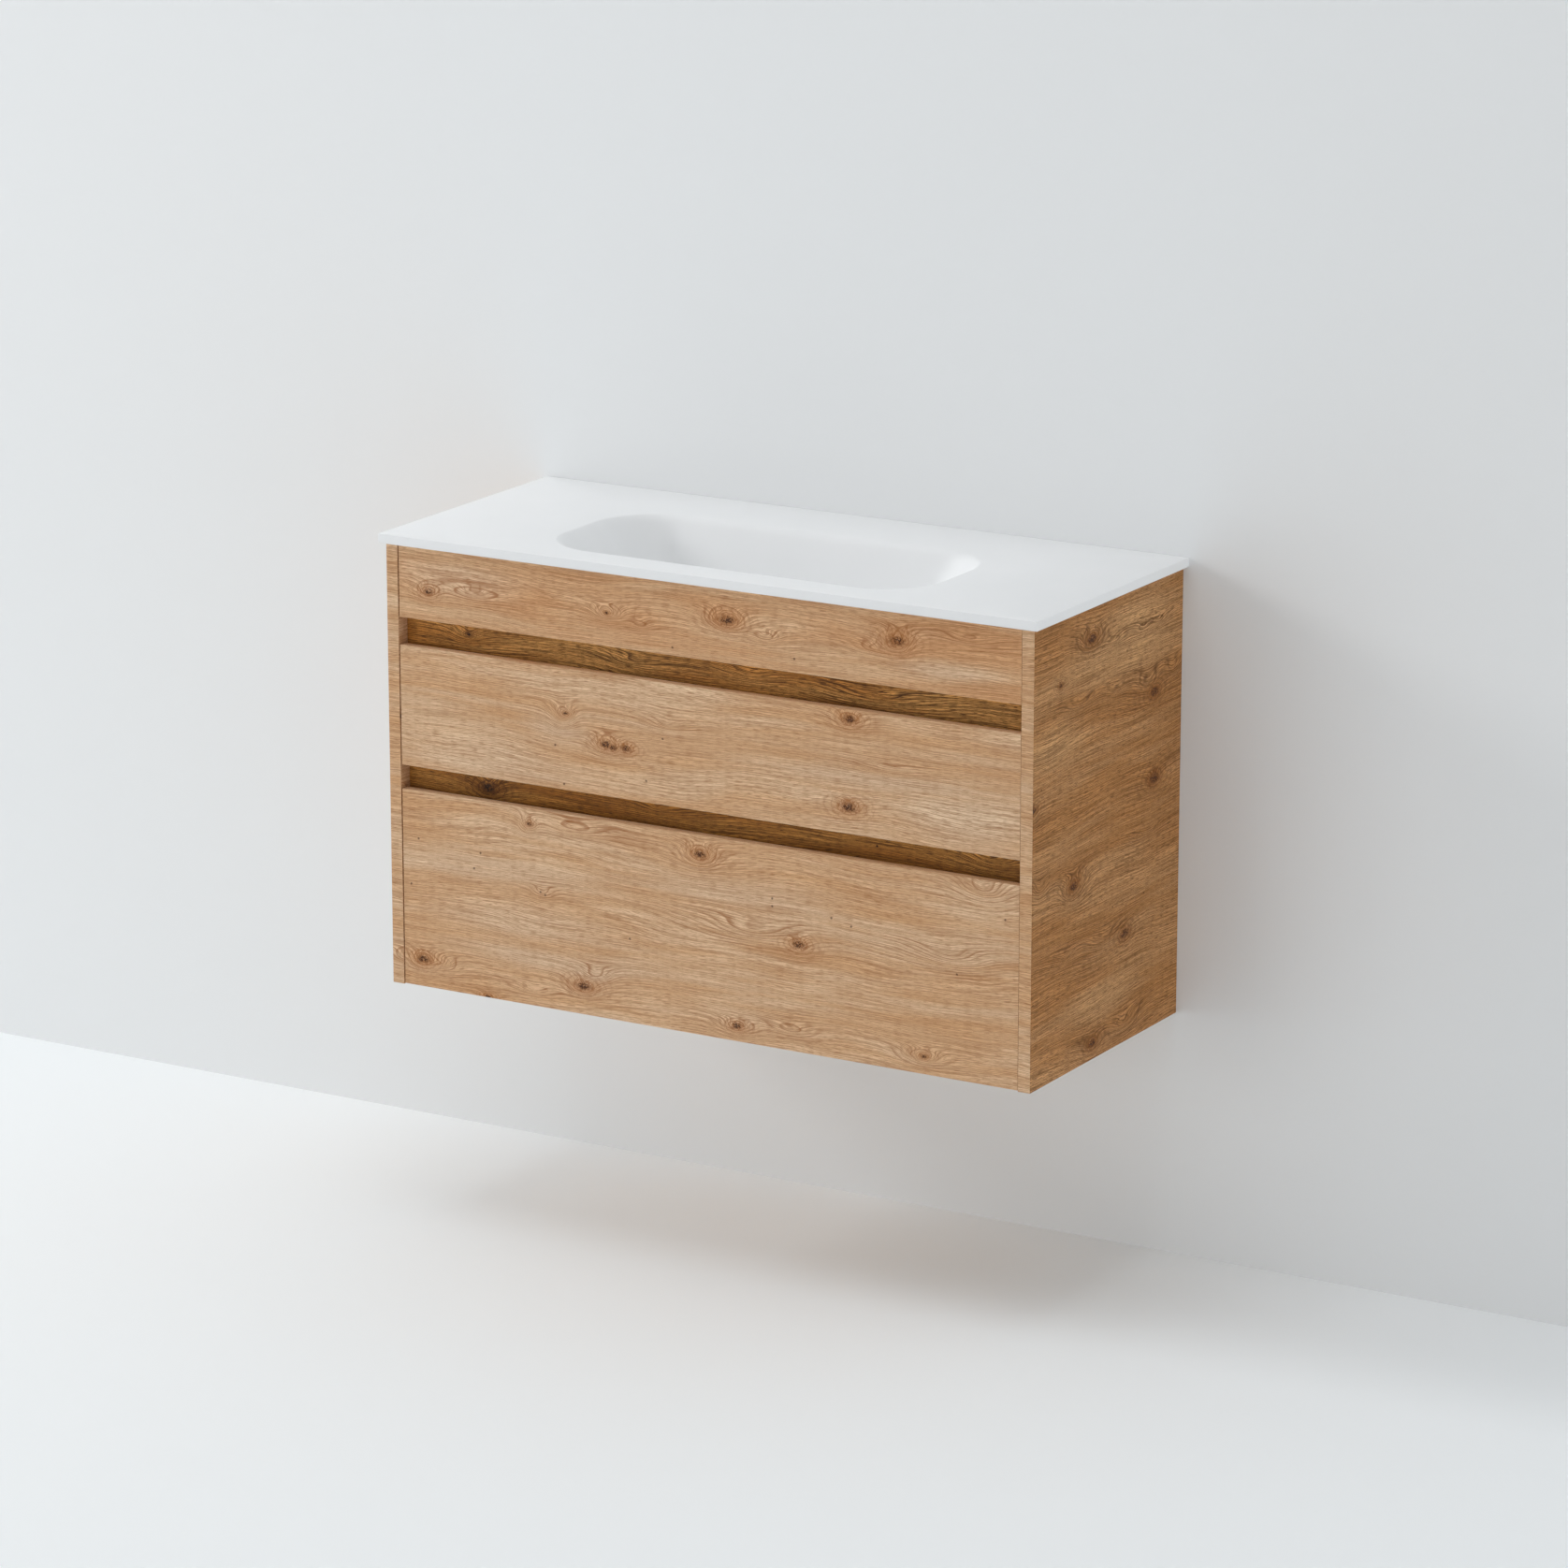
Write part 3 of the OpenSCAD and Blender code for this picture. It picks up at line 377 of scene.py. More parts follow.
def oakMaterial(name, figure, start, tone=None):
    # wood decor on a pressed foil: printed rings, knots and pores, embossed pores, satin matt
    tone = {**oak, **(tone or {})}
    material, tree = newMaterial(name)
    place = addNode(tree, "UVMap", {"uv_map": "grain"}).outputs[0]
    bent = waverLines(tree, place, tone)
    parts = addNode(tree, "SeparateXYZ", links={0: bent})
    height, figured = growLayers(tree, bent, parts.outputs["Y"], figure, start, tone)
    part = addNode(tree, "Mix", {0: 0.5}, {2: parts.outputs["Y"], 3: height})
    fields = {key: addNode(tree, "CombineXYZ", {}, {"X": parts.outputs["X"], "Y": source}).outputs[0]
              for key, source in (("close", height), ("half", part.outputs[0]))}

    masks = {}
    for key, (along, across, low, high, detail, field) in grain.items():
        spot = addNode(tree, "Mapping", {"Location": (figure["seed"], across, 0),
                                         "Scale": (1000 / along, 1000 / across, 1)},
                       {"Vector": fields[field]})
        noise = addNode(tree, "TexNoise", {**flatNoise, "Detail": detail, "Roughness": 0.6},
                        {"Vector": spot.outputs[0]})
        masks[key] = addNode(tree, "MapRange", {**soft, "From Min": low, "From Max": high},
                             {"Value": noise.outputs["Fac"]}).outputs[0]
    masks["ring"] = drawRings(tree, height, figured, masks["vary"], tone)
    masks.update(drawHearts(tree, place, bent, figure, start, tone))
    if figure["fair"]:
        spots = []
        for along, across, reachAlong, reachUp in figure["fair"]:
            off = fromSpot(tree, fields["half"], (Vector((along, across)) + start) * mm,
                           (reachAlong * mm, reachUp * mm))
            spots.append(addNode(tree, "VectorMath", {"operation": "LENGTH"}, {0: off}).outputs["Value"])
        masks["fair"] = addNode(tree, "MapRange", {**soft, "From Min": 1.25, "From Max": 0.2},
                                {"Value": fold(tree, "MINIMUM", spots)}).outputs[0]
    if figure["pins"]:
        spots = []
        for pin in figure["pins"]:
            spot = ((Vector(pin) + start) * mm).to_3d()
            away = addNode(tree, "VectorMath", {"operation": "DISTANCE", 1: spot}, {0: bent})
            spots.append(away.outputs["Value"])
        begin, full = tone["pin"]
        masks["pin"] = addNode(tree, "MapRange", {**soft, "From Min": begin * mm, "From Max": full * mm},
                               {"Value": fold(tree, "MINIMUM", spots)}).outputs[0]

    colour = addNode(tree, "Mix", {"data_type": "RGBA", 6: linear(tone["pale"]), 7: linear(tone["mid"])},
                     {0: masks["band"]}).outputs[2]
    for key, (share, tint) in markings.items():
        if key in masks:
            force = share * tone["force"] * (tone["fine"] if tint == "pore" else 1)
            amount = addNode(tree, "Math", {"operation": "MULTIPLY", 1: min(1, force)}, {0: masks[key]})
            colour = addNode(tree, "Mix", {"data_type": "RGBA", 7: linear(tone[tint])},
                             {0: amount.outputs[0], 6: colour}).outputs[2]

    relief = fold(tree, "MAXIMUM", [masks["dash"], masks["pore"]])
    bump = addNode(tree, "Bump", {"Strength": 0.5, "Distance": tone["grainDepth"] * mm, "invert": True},
                   {"Height": relief})
    low = tone["roughness"]
    sheen = addNode(tree, "MapRange", {"To Min": low, "To Max": low + tone["dashRoughness"]},
                    {"Value": masks["dash"]})
    shader = addNode(tree, "BsdfPrincipled", {"IOR": 1.47, "Specular IOR Level": tone["gloss"]},
                     {"Base Color": colour, "Roughness": sheen.outputs[0]})
    finishMaterial(tree, shader, bump)
    return material


# the fascia is a shade deeper than the fronts; the right side and the grip rails get darker, warmer copies of
# the decor, which paint the warm shade they lie in
fasciaTone = {"pale": "#EEC89E", "mid": "#E4B486", "warm": "#D19258"}
# painted shade: the shaded right side as a darker, more saturated copy of the decor
shadedSideTone = {
    "pale": "#D9A36B",
    "mid": "#C98E52",
    "warm": "#B8783B",
    "streak": "#5F3A1A",
    "pore": "#5C3817",
    "halo": "#945A20",
    "core": "#744010",
    "crack": "#3A1A02",
    "fair": "#ECBC84",
    "fine": 1.6,
}
# painted warm shade: the grip rails at the back of the recesses, darker and more saturated than the fronts
railWarmShadeTone = {
    "pale": "#FCBB69",
    "mid": "#EBA04A",
    "warm": "#D28331",
    "streak": "#4C2C0E",
    "pore": "#4A2B0A",
    "halo": "#74451A",
    "core": "#4C2C0E",
    "crack": "#231104",
    "force": 1.4,
    "fine": 1.4,
}
# the lower rail a step darker still: deeper painted shade
lowerRailDeeperShadeTone = {**railWarmShadeTone, "pale": "#E09E4C", "mid": "#C98432", "warm": "#AA651F"}
oakMaterials = {
    "fascia": oakMaterial("oakFoilFascia", fasciaFigure, datum, fasciaTone),
    "upper": oakMaterial("oakFoilUpper", upperFigure, datum),
    "lower": oakMaterial("oakFoilLower", lowerFigure, datum),
    "upperRail": oakMaterial("oakFoilUpperRailPaintedShade", upperRailFigure, datum, railWarmShadeTone),
    "lowerRail": oakMaterial("oakFoilLowerRailPaintedShade", lowerRailFigure, datum, lowerRailDeeperShadeTone),
    "side": oakMaterial("oakFoilSidePaintedShade", sideFigure, sideDatum, shadedSideTone),
    "farSide": oakMaterial("oakFoilFarSide", {**sideFigure, "seed": 66.2}, sideDatum),
    "edge": oakMaterial("oakEdgeBand", plainFigure, datum),
    "inside": oakMaterial("oakFoilInside", plainFigure, datum),
}
print("oak decor made")


chips = {"pale": "#C6A67C", "dark": "#8E6C47", "width": 2.381, "relief": 0.3, "roughness": 0.85}   # mm


def chipboardMaterial():
    # raw particle board where a back edge has no edge band: coarse chips in a pale core
    material, tree = newMaterial("chipboardCore")
    place = addNode(tree, "TexCoord").outputs["Object"]
    cells = addNode(tree, "TexVoronoi", {"Scale": 1000 / chips["width"], "feature": "F1"}, {"Vector": place})
    colour = addNode(tree, "Mix", {"data_type": "RGBA", 6: linear(chips["pale"]), 7: linear(chips["dark"])},
                     {0: cells.outputs["Distance"]})
    bump = addNode(tree, "Bump", {"Strength": 0.5, "Distance": chips["relief"] * mm, "invert": True},
                   {"Height": cells.outputs["Distance"]})
    shader = addNode(tree, "BsdfPrincipled", {"Roughness": chips["roughness"]},
                     {"Base Color": colour.outputs[2]})
    finishMaterial(tree, shader, bump)
    return material


linen = {
    "pale": "#A8A49D",
    "dark": "#8F8B85",
    "roughness": 0.55,
    "length": 25,      # mm of a thread between knots
    "width": 1.111,    # mm, twice as coarse as a real thread, so that it shows
    "relief": 0.08,    # mm
}


def melamineMaterial():
    # warm grey melamine with a pressed linen weave: crossing threads break up the light a little
    material, tree = newMaterial("linenMelamine")
    place = addNode(tree, "UVMap", {"uv_map": "grain"}).outputs[0]
    threads = []
    along, across = 1000 / linen["length"], 1000 / linen["width"]
    for size in ((along, across, 1), (across, along, 1)):
        spot = addNode(tree, "Mapping", {"Scale": size}, {"Vector": place})
        threads.append(addNode(tree, "TexNoise", {**flatNoise, "Detail": 2},
                               {"Vector": spot.outputs[0]}).outputs["Fac"])
    weave = fold(tree, "MAXIMUM", threads)
    tone = addNode(tree, "MapRange", {"From Min": 0.4, "From Max": 0.75}, {"Value": weave}).outputs[0]
    colour = addNode(tree, "Mix", {"data_type": "RGBA", 6: linear(linen["dark"]), 7: linear(linen["pale"])},
                     {0: tone})
    bump = addNode(tree, "Bump", {"Strength": 0.4, "Distance": linen["relief"] * mm}, {"Height": weave})
    shader = addNode(tree, "BsdfPrincipled", {"Roughness": linen["roughness"], "IOR": 1.5},
                     {"Base Color": colour.outputs[2]})
    finishMaterial(tree, shader, bump)
    return material


chipboard = chipboardMaterial()
melamine = melamineMaterial()


# boards

board = {"edge": 0.2, "segments": 3}   # mm of rounding at the edges, and its steps
sharpAngle = math.radians(30)


def extrudeOutline(corners, way):
    # a closed solid on a flat outline
    bm = bmesh.new()
    base = bm.faces.new([bm.verts.new(corner) for corner in corners])
    grown = bmesh.ops.extrude_face_region(bm, geom=[base])
    moved = [v for v in grown["geom"] if isinstance(v, bmesh.types.BMVert)]
    bmesh.ops.translate(bm, vec=way, verts=moved)
    bmesh.ops.recalc_face_normals(bm, faces=bm.faces)
    return bm


def roundAndMap(bm):
    sharp = [e for e in bm.edges if e.calc_face_angle() > sharpAngle]
    bmesh.ops.bevel(bm, geom=sharp, offset=board["edge"] * mm, offset_type="OFFSET",
                    segments=board["segments"], profile=0.5, affect="EDGES", material=-1, clamp_overlap=True)
    bm.normal_update()
    mapGrain(bm)


def makeBoard(node, face, edge=None, back=None, longer=0):
    low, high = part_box(node)
    high.x += longer
    size = high - low
    bm = bmesh.new()
    bmesh.ops.create_cube(bm, size=1)
    bmesh.ops.scale(bm, vec=size, verts=bm.verts)
    bmesh.ops.translate(bm, vec=(low + high) / 2, verts=bm.verts)
    roundAndMap(bm)
    materials = [face] + [m for m in (edge, back) if m]
    thin = min(range(3), key=lambda i: size[i])
    for f in bm.faces:
        axis = max(range(3), key=lambda i: abs(f.normal[i]))
        if back and axis == 1 and f.normal.y > 0:
            f.material_index = len(materials) - 1
        elif edge and axis != thin:
            f.material_index = 1
    finishPiece(bm, "board_" + node, materials, node)


def makeFront(node, face, land, rebate, longer):
    low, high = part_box(node)
    high.x += longer
    slope = high.y - low.y - land
    outline = [(low.y, low.z), (high.y, low.z), (high.y, high.z - rebate),
               (low.y + land, high.z - rebate + slope), (low.y + land, high.z), (low.y, high.z)]
    bm = extrudeOutline([(low.x, y, z) for y, z in outline], (high.x - low.x, 0, 0))
    roundAndMap(bm)
    finishPiece(bm, "board_" + node, [face], node)


def makeNotchedFloor(node, half, reach):
    # drawer floor with a notch at its back, round the waste
    low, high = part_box(node)
    outline = [(low.x, low.y), (high.x, low.y), (high.x, high.y), (half, high.y), (half, reach),
               (-half, reach), (-half, high.y), (low.x, high.y)]
    bm = extrudeOutline([(x, y, low.z) for x, y in outline], (0, 0, high.z - low.z))
    roundAndMap(bm)
    finishPiece(bm, "board_" + node, [melamine], node)


# thickness beside the finger rebate, its height, and how much further right the fascia and the fronts reach
# than in the CAD model, whose gap there is wider than the photographed one
front = {"land": 13 * mm, "rebate": 19 * mm, "longer": 0.6 * mm}
makeBoard("side_panel_left", oakMaterials["farSide"], oakMaterials["edge"], chipboard)
# the right side gets the copy with painted shade, the left side the plain decor
makeBoard("side_panel_right", oakMaterials["side"], oakMaterials["edge"], chipboard)
makeBoard("fascia", oakMaterials["fascia"], longer=front["longer"])
makeBoard("grip_rail_upper", oakMaterials["upperRail"])
makeBoard("grip_rail_lower", oakMaterials["lowerRail"])
makeBoard("bottom_panel", oakMaterials["inside"], back=chipboard)
makeBoard("rear_rail_upper", oakMaterials["inside"])
makeBoard("rear_rail_lower", oakMaterials["inside"])
for name in ("upper", "lower"):
    makeFront(name + "_front", oakMaterials[name], **front)
greyBoards = ["inner_front", "side_left", "side_right"]
for drawer, more in (("upper", ["back_left", "back_right", "notch_left", "notch_right", "notch_front"]),
                     ("lower", ["floor", "back"])):
    for part in greyBoards + more:
        makeBoard(f"{drawer}_{part}", melamine)
makeNotchedFloor("upper_floor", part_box("upper_notch_right")[0].x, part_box("upper_notch_front")[1].y)
print("boards made")


# washbasin, in mm; the bowl's place is measured from the slab's front
basin = {
    "bowlLength": 590,
    "bowlWidth": 258,
    "bowlFront": 50,
    "rimRadius": 90,
    "lipWidth": 14,
    "lipDepth": 10,
    "floorRadius": 45,     # of the round between floor and walls
    "floorHalfX": 190,     # half the flat floor
    "floorHalfY": 36,
    "floorInsetX": 12,     # from the flat floor's edge to the ring where it begins
    "floorInsetY": 1,
    "floorCorner": 6,
    "depth": 110,
    "wall": 10,
    "shellStart": 3,       # from the slab's underside down to the first ring of the outer shell
    "slab": 13,
    "slabCorner": 1.2,
    "edge": 0.8,
    "seatRadius": 33,      # of the waste's flange
    "seatDepth": 4,
    "holeRadius": 23,
    "apart": 0.02,         # two loops in one plane would bridge the wrong way round
}
basinSteps = {"corner": 14, "long": 30, "short": 8, "floor": 9, "wall": 6, "lip": 9}
basinSmooth = 40   # degrees


def roundedLoop(bm, halfX, halfY, radius, centre, z):
    # rounded rectangle with the same number of points at any size, so that two of them bridge one to one
    made = bmesh.ops.create_grid(bm, x_segments=1, y_segments=1, size=1)
    verts = made["verts"]
    bmesh.ops.scale(bm, vec=(halfX, halfY, 1), verts=verts)
    bmesh.ops.translate(bm, vec=(0, centre, z), verts=verts)
    bmesh.ops.bevel(bm, geom=verts, offset=radius, offset_type="OFFSET", segments=basinSteps["corner"],
                    profile=0.5, affect="VERTICES", material=-1)
    face = max(bm.faces, key=lambda f: f.calc_area())
    longEdges = sorted(face.edges, key=lambda e: -e.calc_length())[:4]
    for edge in longEdges:
        along = abs(edge.verts[0].co.x - edge.verts[1].co.x) > abs(edge.verts[0].co.y - edge.verts[1].co.y)
        cuts = basinSteps["long"] if along else basinSteps["short"]
        bmesh.ops.subdivide_edges(bm, edges=[edge], cuts=cuts)
    edges = list(face.edges)
    bmesh.ops.delete(bm, geom=[face], context="FACES_ONLY")
    return edges


def circleLoop(bm, radius, centre, z, count):
    made = bmesh.ops.create_circle(bm, segments=count, radius=radius, cap_ends=False)
    # half a step round, as the bowl's loops begin
    bmesh.ops.rotate(bm, verts=made["verts"], matrix=Matrix.Rotation(math.pi / count, 3, "Z"))
    bmesh.ops.translate(bm, vec=(0, centre, z), verts=made["verts"])
    return list({e for v in made["verts"] for e in v.link_edges})


mineral = {
    "pale": "#F0F1F2",
    "dark": "#EBEDEE",
    "roughness": (0.44, 0.54),
    "cloud": 111.1,    # mm between paler and darker places
    "grain": 1.111,    # mm of the sanding, coarser than the real one, so that it shows
    "relief": 0.03,    # mm
}


def mineralMaterial():
    # cast mineral composite, sanded matt: almost white, faintly cool, with a soft wide gloss
    material, tree = newMaterial("castMineralMatt")
    place = addNode(tree, "TexCoord").outputs["Object"]
    cloud = addNode(tree, "TexNoise", {"Scale": 1000 / mineral["cloud"], "Detail": 3}, {"Vector": place})
    pale, dark = linear(mineral["pale"]), linear(mineral["dark"])
    colour = addNode(tree, "Mix", {"data_type": "RGBA", 6: dark, 7: pale}, {0: cloud.outputs["Fac"]})
    fine = addNode(tree, "TexNoise", {"Scale": 1000 / mineral["grain"], "Detail": 2}, {"Vector": place})
    low, high = mineral["roughness"]
    rough = addNode(tree, "MapRange", {"To Min": low, "To Max": high}, {"Value": fine.outputs["Fac"]})
    bump = addNode(tree, "Bump", {"Strength": 0.15, "Distance": mineral["relief"] * mm},
                   {"Height": fine.outputs["Fac"]})
    shader = addNode(tree, "BsdfPrincipled", {"IOR": 1.5},
                     {"Base Color": colour.outputs[2], "Roughness": rough.outputs[0]})
    finishMaterial(tree, shader, bump)
    return material


def makeWashbasin():
    low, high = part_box("washbasin")
    size = {key: value * mm for key, value in basin.items()}
    steps = basinSteps
    top = high.z
    under = top - size["slab"]
    floor = top - size["depth"]
    halfX, halfY = size["bowlLength"] / 2, size["bowlWidth"] / 2
    bowlY = low.y + size["bowlFront"] + halfY
    slabX, slabY = (high.x - low.x) / 2, (high.y - low.y) / 2
    slabMid = (low.y + high.y) / 2
    flatX, flatY = size["floorHalfX"], size["floorHalfY"]
    radius, wall, edge = size["floorRadius"], size["wall"], size["edge"]
    bm = bmesh.new()
    levels = []

    def bowl(x, y, r, z):
        levels.append(roundedLoop(bm, x, y, r, bowlY, z))

    def slab(inset, z):
        levels.append(roundedLoop(bm, slabX - inset, slabY - inset, size["slabCorner"], slabMid, z))

    # waste hole and the seat of its flange, with as many points as the bowl's loops
    count = 4 * steps["corner"] + 2 * (steps["long"] + steps["short"]) + 4
    for r, z in ((size["holeRadius"], floor - wall), (size["holeRadius"], floor - size["seatDepth"]),
                 (size["seatRadius"], floor - size["seatDepth"]), (size["seatRadius"], floor - edge),
                 (size["seatRadius"] + edge, floor)):
        levels.append(circleLoop(bm, r, bowlY, z, count))

    # floor and the round between floor and walls
    small = size["floorCorner"]
    bowl(flatX - size["floorInsetX"], flatY - size["floorInsetY"], small, floor)
    for i in range(steps["floor"] + 1):
        angle = math.pi / 2 * i / steps["floor"]
        out = radius * math.sin(angle)
        bowl(flatX + out, flatY + out, max(small, out), floor + radius * (1 - math.cos(angle)))
    # walls, leaning out to the throat
    startX, startY, startZ = flatX + radius, flatY + radius, floor + radius
    cornerLow, cornerHigh = radius, size["rimRadius"] - size["lipWidth"]
    throatX, throatY, throatZ = halfX - size["lipWidth"], halfY - size["lipWidth"], top - size["lipDepth"]
    for i in range(1, steps["wall"] + 1):
        t = i / steps["wall"]
        bowl(startX + (throatX - startX) * t, startY + (throatY - startY) * t,
             cornerLow + (cornerHigh - cornerLow) * t, startZ + (throatZ - startZ) * t)
    # soft lip, a curve that leaves the wall along its slope and ends level at the rim
    slopeX = (throatX - startX) / (throatZ - startZ)
    slopeY = (throatY - startY) / (throatZ - startZ)
    for i in range(1, steps["lip"] + 1):
        t = i / steps["lip"]
        early, late = 2 * t * (1 - t) * size["lipDepth"], t * t * size["lipWidth"]
        up = size["lipDepth"] * (2 * t - t * t)
        bowl(throatX + early * slopeX + late, throatY + early * slopeY + late,
             cornerHigh + early * (slopeX + slopeY) / 2 + late, throatZ + up - size["apart"])
    # slab with rounded edges, then its underside
    slab(edge, top)
    slab(0.3 * edge, top - 0.3 * edge)
    slab(0, top - edge)
    slab(0, under + edge)
    slab(edge, under)
    bowl(halfX + wall, halfY + wall, size["rimRadius"] + wall, under - size["apart"])
    # outer shell
    for i in range(steps["wall"], -1, -1):
        t = i / steps["wall"]
        z = startZ + (throatZ - startZ) * t
        if z < under - size["shellStart"]:
            bowl(startX + (throatX - startX) * t + wall, startY + (throatY - startY) * t + wall,
                 cornerLow + (cornerHigh - cornerLow) * t + wall, z)
    for i in range(steps["floor"] - 1, -1, -1):
        angle = math.pi / 2 * i / steps["floor"]
        out = (radius + wall) * math.sin(angle)
        bowl(flatX + out, flatY + out, max(small, out), floor + radius - (radius + wall) * math.cos(angle))
    for first, second in zip(levels, levels[1:] + levels[:1]):
        bmesh.ops.bridge_loops(bm, edges=first + second)
    bmesh.ops.remove_doubles(bm, verts=bm.verts, dist=1e-7)
    finishPiece(bm, "cast_washbasin", [mineralMaterial()], "washbasin", basinSmooth)


makeWashbasin()
print("washbasin made")


# metal, plastic and rubber pieces that stay as CAD

hardware = {
    # zinc-plated steel: cool grey with faint spangle
    "zincPlatedSteel": {
        "pale": "#C9CDD0", "dark": "#AEB3B8", "rough": 0.34, "metallic": 1.0, "patch": 22.22, "relief": 0.02,
        "members": ["carcass_screws", "hanger_left", "hanger_right", "hanger_hooks", "wall_plates",
                    "upper_runner_left", "upper_runner_right", "lower_runner_left", "lower_runner_right",
                    "upper_slide_left", "upper_slide_right", "lower_slide_left", "lower_slide_right",
                    "upper_middle_members", "lower_middle_members", "upper_outer_cages", "upper_inner_cages",
                    "lower_outer_cages", "lower_inner_cages", "upper_screws", "lower_screws"],
    },
    # chromed brass and screws: near mirror
    "polishedChrome": {
        "pale": "#D9DCDE", "dark": "#CFD3D6", "rough": 0.09, "metallic": 1.0, "patch": 33.33, "relief": 0.004,
        "members": ["waste_body", "waste_nut", "waste_plug", "hanger_adjusters"],
    },
    # moulded grey plastic: fine matt grain
    "mouldedPolyamide": {
        "pale": "#6A6D70", "dark": "#606366", "rough": 0.48, "metallic": 0.0, "patch": 8.333, "relief": 0.03,
        "members": ["fascia_spacers", "waste_cartridge", "runner_dampers"],
    },
    # black rubber: soft, dull
    "nitrileRubber": {
        "pale": "#2A2A2C", "dark": "#202022", "rough": 0.7, "metallic": 0.0, "patch": 11.11, "relief": 0.03,
        "members": ["waste_seals", "plug_ring"],
    },
    # cast polyurethane pads: pale, smooth
    "polyurethanePads": {
        "pale": "#D4D4CE", "dark": "#C8C8C0", "rough": 0.3, "metallic": 0.0, "patch": 12.5, "relief": 0.01,
        "members": ["front_bumpers"],
    },
    # fluted beech dowels: fine straight grain along X
    "rawBeech": {
        "pale": "#D9B68C", "dark": "#B98F62", "rough": 0.7, "metallic": 0.0, "patch": 25, "relief": 0.05,
        "stretch": (0.2, 3, 3), "members": ["carcass_dowels", "upper_dowels", "lower_dowels"],
    },
    # sealant bead: satin, slightly uneven
    "siliconeBead": {
        "pale": "#EFEFEA", "dark": "#E6E6E0", "rough": 0.38, "metallic": 0.0, "patch": 20, "relief": 0.06,
        "members": ["basin_bond"],
    },
}
fineShare = 1 / 14   # size of the relief's grain as a share of a patch


def plainMaterial(name, finish):
    # patches change colour and gloss a little over a fine relief, both in mm
    material, tree = newMaterial(name)
    place = addNode(tree, "TexCoord").outputs["Object"]
    spot = addNode(tree, "Mapping", {"Scale": finish.get("stretch", (1, 1, 1))}, {"Vector": place}).outputs[0]
    scale = 1000 / finish["patch"]
    cloud = addNode(tree, "TexNoise", {"Scale": scale, "Detail": 4, "Roughness": 0.6}, {"Vector": spot})
    fine = addNode(tree, "TexNoise", {"Scale": scale / fineShare, "Detail": 2}, {"Vector": spot})
    shade = addNode(tree, "MapRange", {"From Min": 0.3, "From Max": 0.7}, {"Value": cloud.outputs["Fac"]})
    colour = addNode(tree, "Mix", {"data_type": "RGBA", 6: linear(finish["dark"]), 7: linear(finish["pale"])},
                     {0: shade.outputs[0]})
    gloss = addNode(tree, "MapRange", {"To Min": finish["rough"] * 0.85, "To Max": finish["rough"] * 1.15},
                    {"Value": shade.outputs[0]})
    bump = addNode(tree, "Bump", {"Strength": 0.3, "Distance": finish["relief"] * mm},
                   {"Height": fine.outputs["Fac"]})
    shader = addNode(tree, "BsdfPrincipled", {"Metallic": finish["metallic"]},
                     {"Base Color": colour.outputs[2], "Roughness": gloss.outputs[0]})
    finishMaterial(tree, shader, bump)
    return material


for name, finish in hardware.items():
    material = plainMaterial(name, finish)
    for member in finish["members"]:
        mesh = nodes[member].data
        mesh.materials.clear()
        mesh.materials.append(material)
print("hardware finished")


# stage and light, in metres and watts
stage = {
    "floor": -0.8665,
    "wall": 0.0005,
    "reach": 9.0,
    "marginX": 0.001,    # how far inside the object's outline the stretch of wall that it hides ends
    "marginZ": 0.0005,
    "wallColour": "#F0F2F3",
    "floorColour": "#F5F9FB",
    "worldLight": 0.416,
    "worldSeen": "#DFE1E3",
}


def hiddenStretches():
    # half width, bottom and top of the wall behind the cabinet and behind the slab
    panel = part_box("side_panel_right")
    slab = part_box("washbasin")[1]
    top = slab.z - stage["marginZ"]
    return ((panel[1].x - stage["marginX"], panel[0].z + stage["marginZ"], top),
            (slab.x - stage["marginX"], slab.z - basin["slab"] * mm + stage["marginX"], top))


def stageMaterial(name, colour, lightPasses):
    # plain painted surface; seen from its back it is clear, so that views from behind show the object; where
    # light passes, it is paint only to a camera in front of it
    material, tree = newMaterial(name)
    paint = addNode(tree, "BsdfDiffuse", {"Color": linear(colour)})
    clear = addNode(tree, "BsdfTransparent")
    share = addNode(tree, "NewGeometry").outputs["Backfacing"]
    if lightPasses:
        path = addNode(tree, "LightPath")
        seen = addNode(tree, "Math", {"operation": "SUBTRACT", "use_clamp": True},
                       {0: path.outputs["Is Camera Ray"], 1: share})
        share = addNode(tree, "Math", {"operation": "SUBTRACT", 0: 1.0}, {1: seen.outputs[0]}).outputs[0]
    mixed = addNode(tree, "MixShader", {}, {0: share, 1: paint.outputs[0], 2: clear.outputs[0]})
    addNode(tree, "OutputMaterial", links={"Surface": mixed.outputs[0]})
    return material


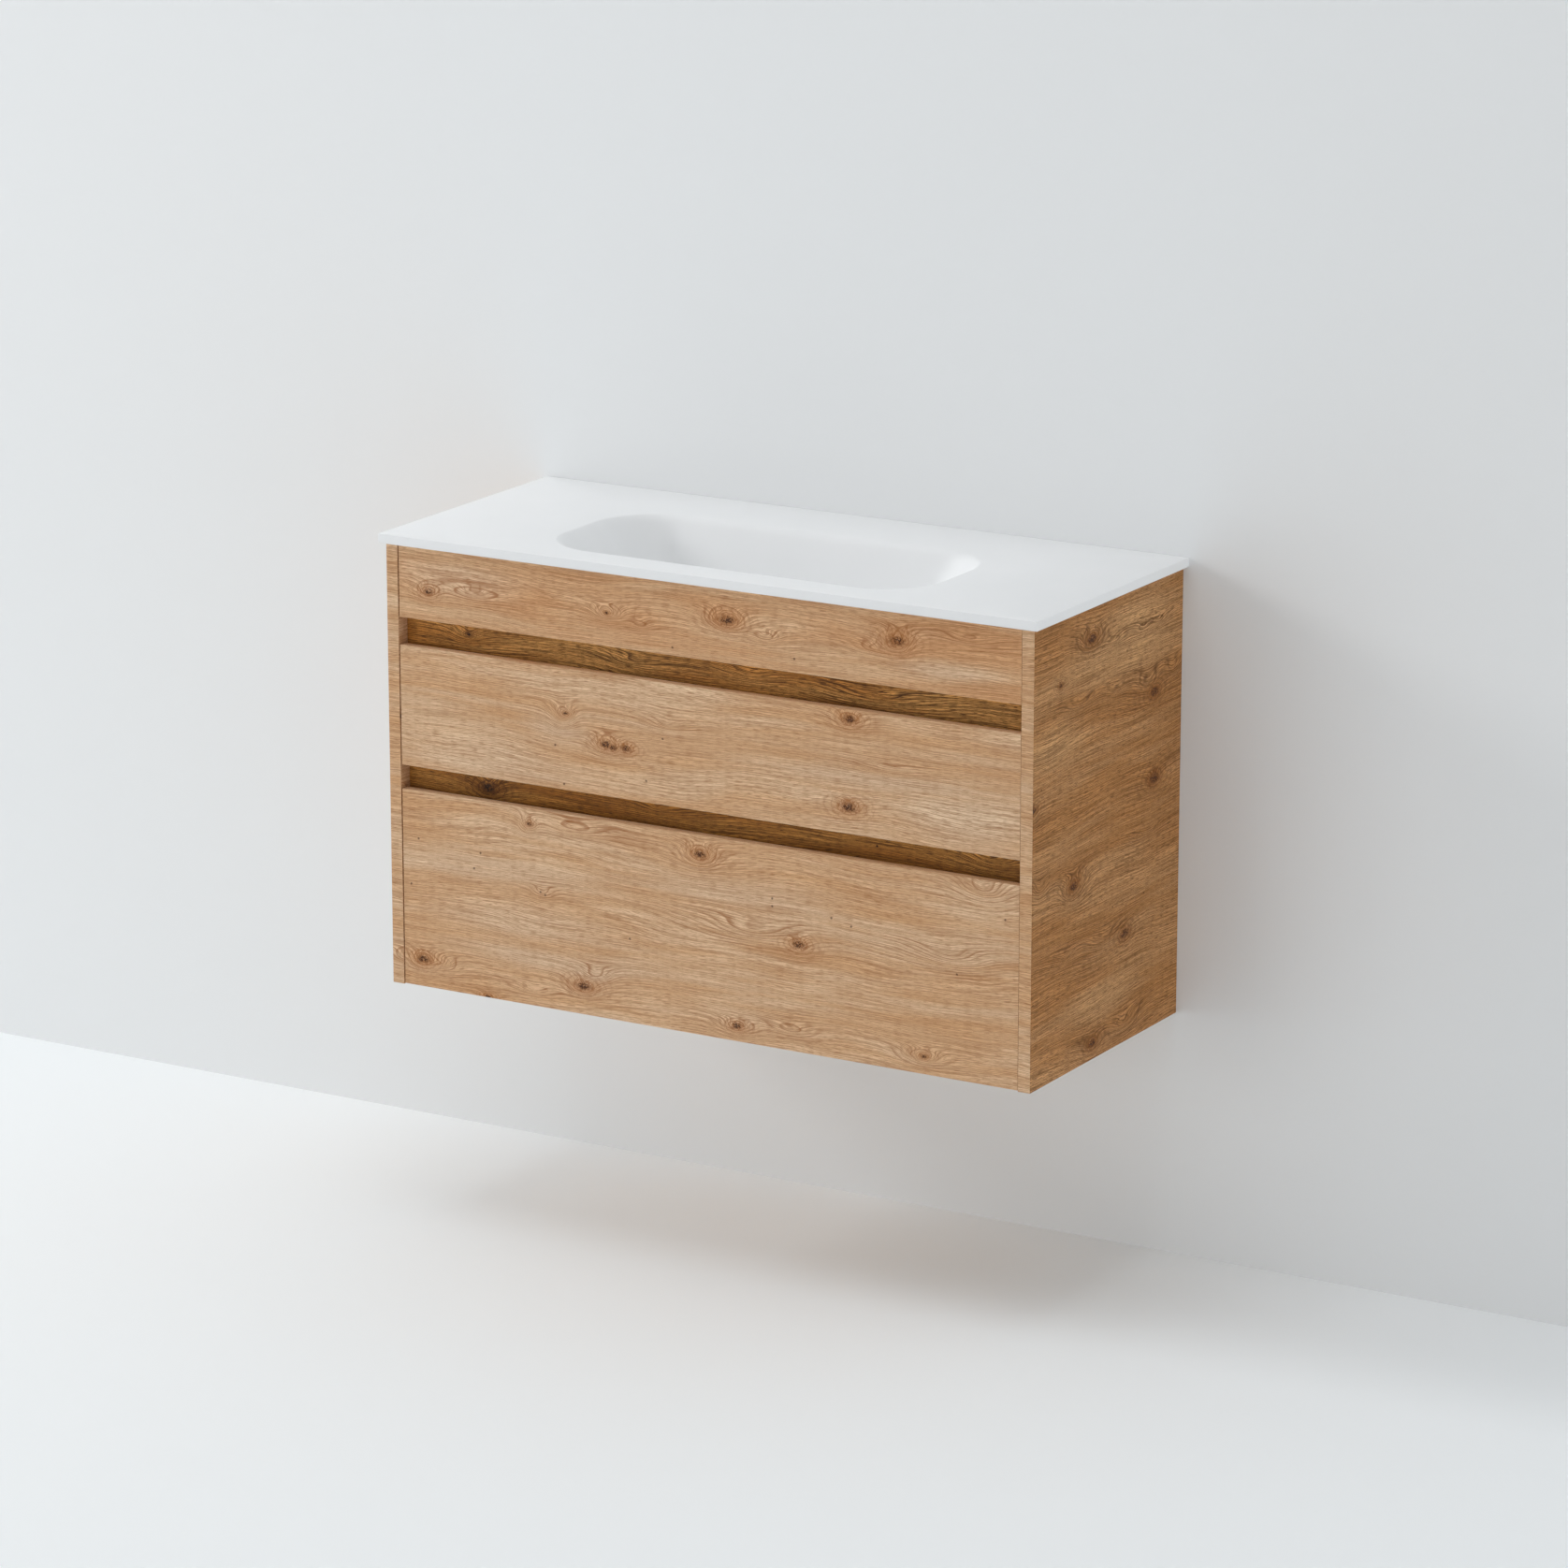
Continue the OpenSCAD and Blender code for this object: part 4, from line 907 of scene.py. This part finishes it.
def makeStage():
    reach, wall, floor = stage["reach"], stage["wall"], stage["floor"]
    upright = Matrix.Rotation(math.pi / 2, 4, "X")
    hidden = hiddenStretches()
    for name, colour, turn, place in (
            ("stageFloor", stage["floorColour"], Matrix(), (0, wall - reach, floor)),
            ("stageWall", stage["wallColour"], upright, (0, wall, floor + reach))):
        bm = bmesh.new()
        bmesh.ops.create_grid(bm, x_segments=1, y_segments=1, size=reach)
        bmesh.ops.transform(bm, matrix=turn, verts=bm.verts)
        bmesh.ops.translate(bm, vec=place, verts=bm.verts)
        if name == "stageWall":
            # what the object hides lets light reach its back, for the views from there
            for across, low, high in hidden:
                for spot, normal in (((-across, 0, 0), (1, 0, 0)), ((across, 0, 0), (1, 0, 0)),
                                     ((0, 0, low), (0, 0, 1)), ((0, 0, high), (0, 0, 1))):
                    bmesh.ops.bisect_plane(bm, geom=bm.verts[:] + bm.edges[:] + bm.faces[:], plane_co=spot,
                                           plane_no=normal)
            for face in bm.faces:
                spot = face.calc_center_median()
                if any(abs(spot.x) < across and low < spot.z < high for across, low, high in hidden):
                    face.material_index = 1
        mesh = bpy.data.meshes.new(name)
        bm.to_mesh(mesh)
        bm.free()
        mesh.materials.append(stageMaterial(name + "Paint", colour, False))
        mesh.materials.append(stageMaterial(name + "ClearPaint", colour, True))
        sheet = bpy.data.objects.new(name, mesh)
        bpy.context.scene.collection.objects.link(sheet)


lampAim = (0, -0.2, -0.2)
lamps = {
    "key": {"place": (-8.7, -1.94, 3.45), "size": 2.4, "power": 336},
    "front": {"place": (-2.23, -5.77, -0.31), "size": 3.0, "power": 56},
    "side": {"place": (6.0, -0.5, 0.0), "size": 1.5, "power": 58},
    "top": {"place": (0.0, -1.38, 5.68), "size": 3.0, "power": 71},
    "rear": {"place": (-1.9, 5.4, 2.2), "size": 3.0, "power": 130},
}


def makeLights():
    target = Vector(lampAim)
    for name, lamp in lamps.items():
        data = bpy.data.lights.new(name, "AREA")
        data.shape = "SQUARE"
        data.size = lamp["size"]
        data.energy = lamp["power"]
        light = bpy.data.objects.new("lamp_" + name, data)
        light.location = lamp["place"]
        light.rotation_euler = (target - light.location).to_track_quat("-Z", "Y").to_euler()
        light.visible_camera = False
        bpy.context.scene.collection.objects.link(light)
    # a plain room that lights the object evenly, paler where the camera or a reflection shows it
    world = bpy.data.worlds.new("room")
    bpy.context.scene.world = world
    world.use_nodes = True
    tree = world.node_tree
    tree.nodes.clear()
    path = addNode(tree, "LightPath")
    seen = addNode(tree, "Math", {"operation": "MAXIMUM"},
                   {0: path.outputs["Is Camera Ray"], 1: path.outputs["Is Glossy Ray"]})
    seen = addNode(tree, "Math", {"operation": "MAXIMUM"},
                   {0: seen.outputs[0], 1: path.outputs["Is Transmission Ray"]})
    glow = addNode(tree, "Background", {"Color": (1, 1, 1, 1), "Strength": stage["worldLight"]})
    pale = addNode(tree, "Background", {"Color": linear(stage["worldSeen"]), "Strength": 1.0})
    mixed = addNode(tree, "MixShader", {}, {0: seen.outputs[0], 1: glow.outputs[0], 2: pale.outputs[0]})
    addNode(tree, "OutputWorld", links={"Surface": mixed.outputs[0]})


makeStage()
makeLights()
bpy.context.scene.view_settings.view_transform = "Standard"
print("stage and light set")
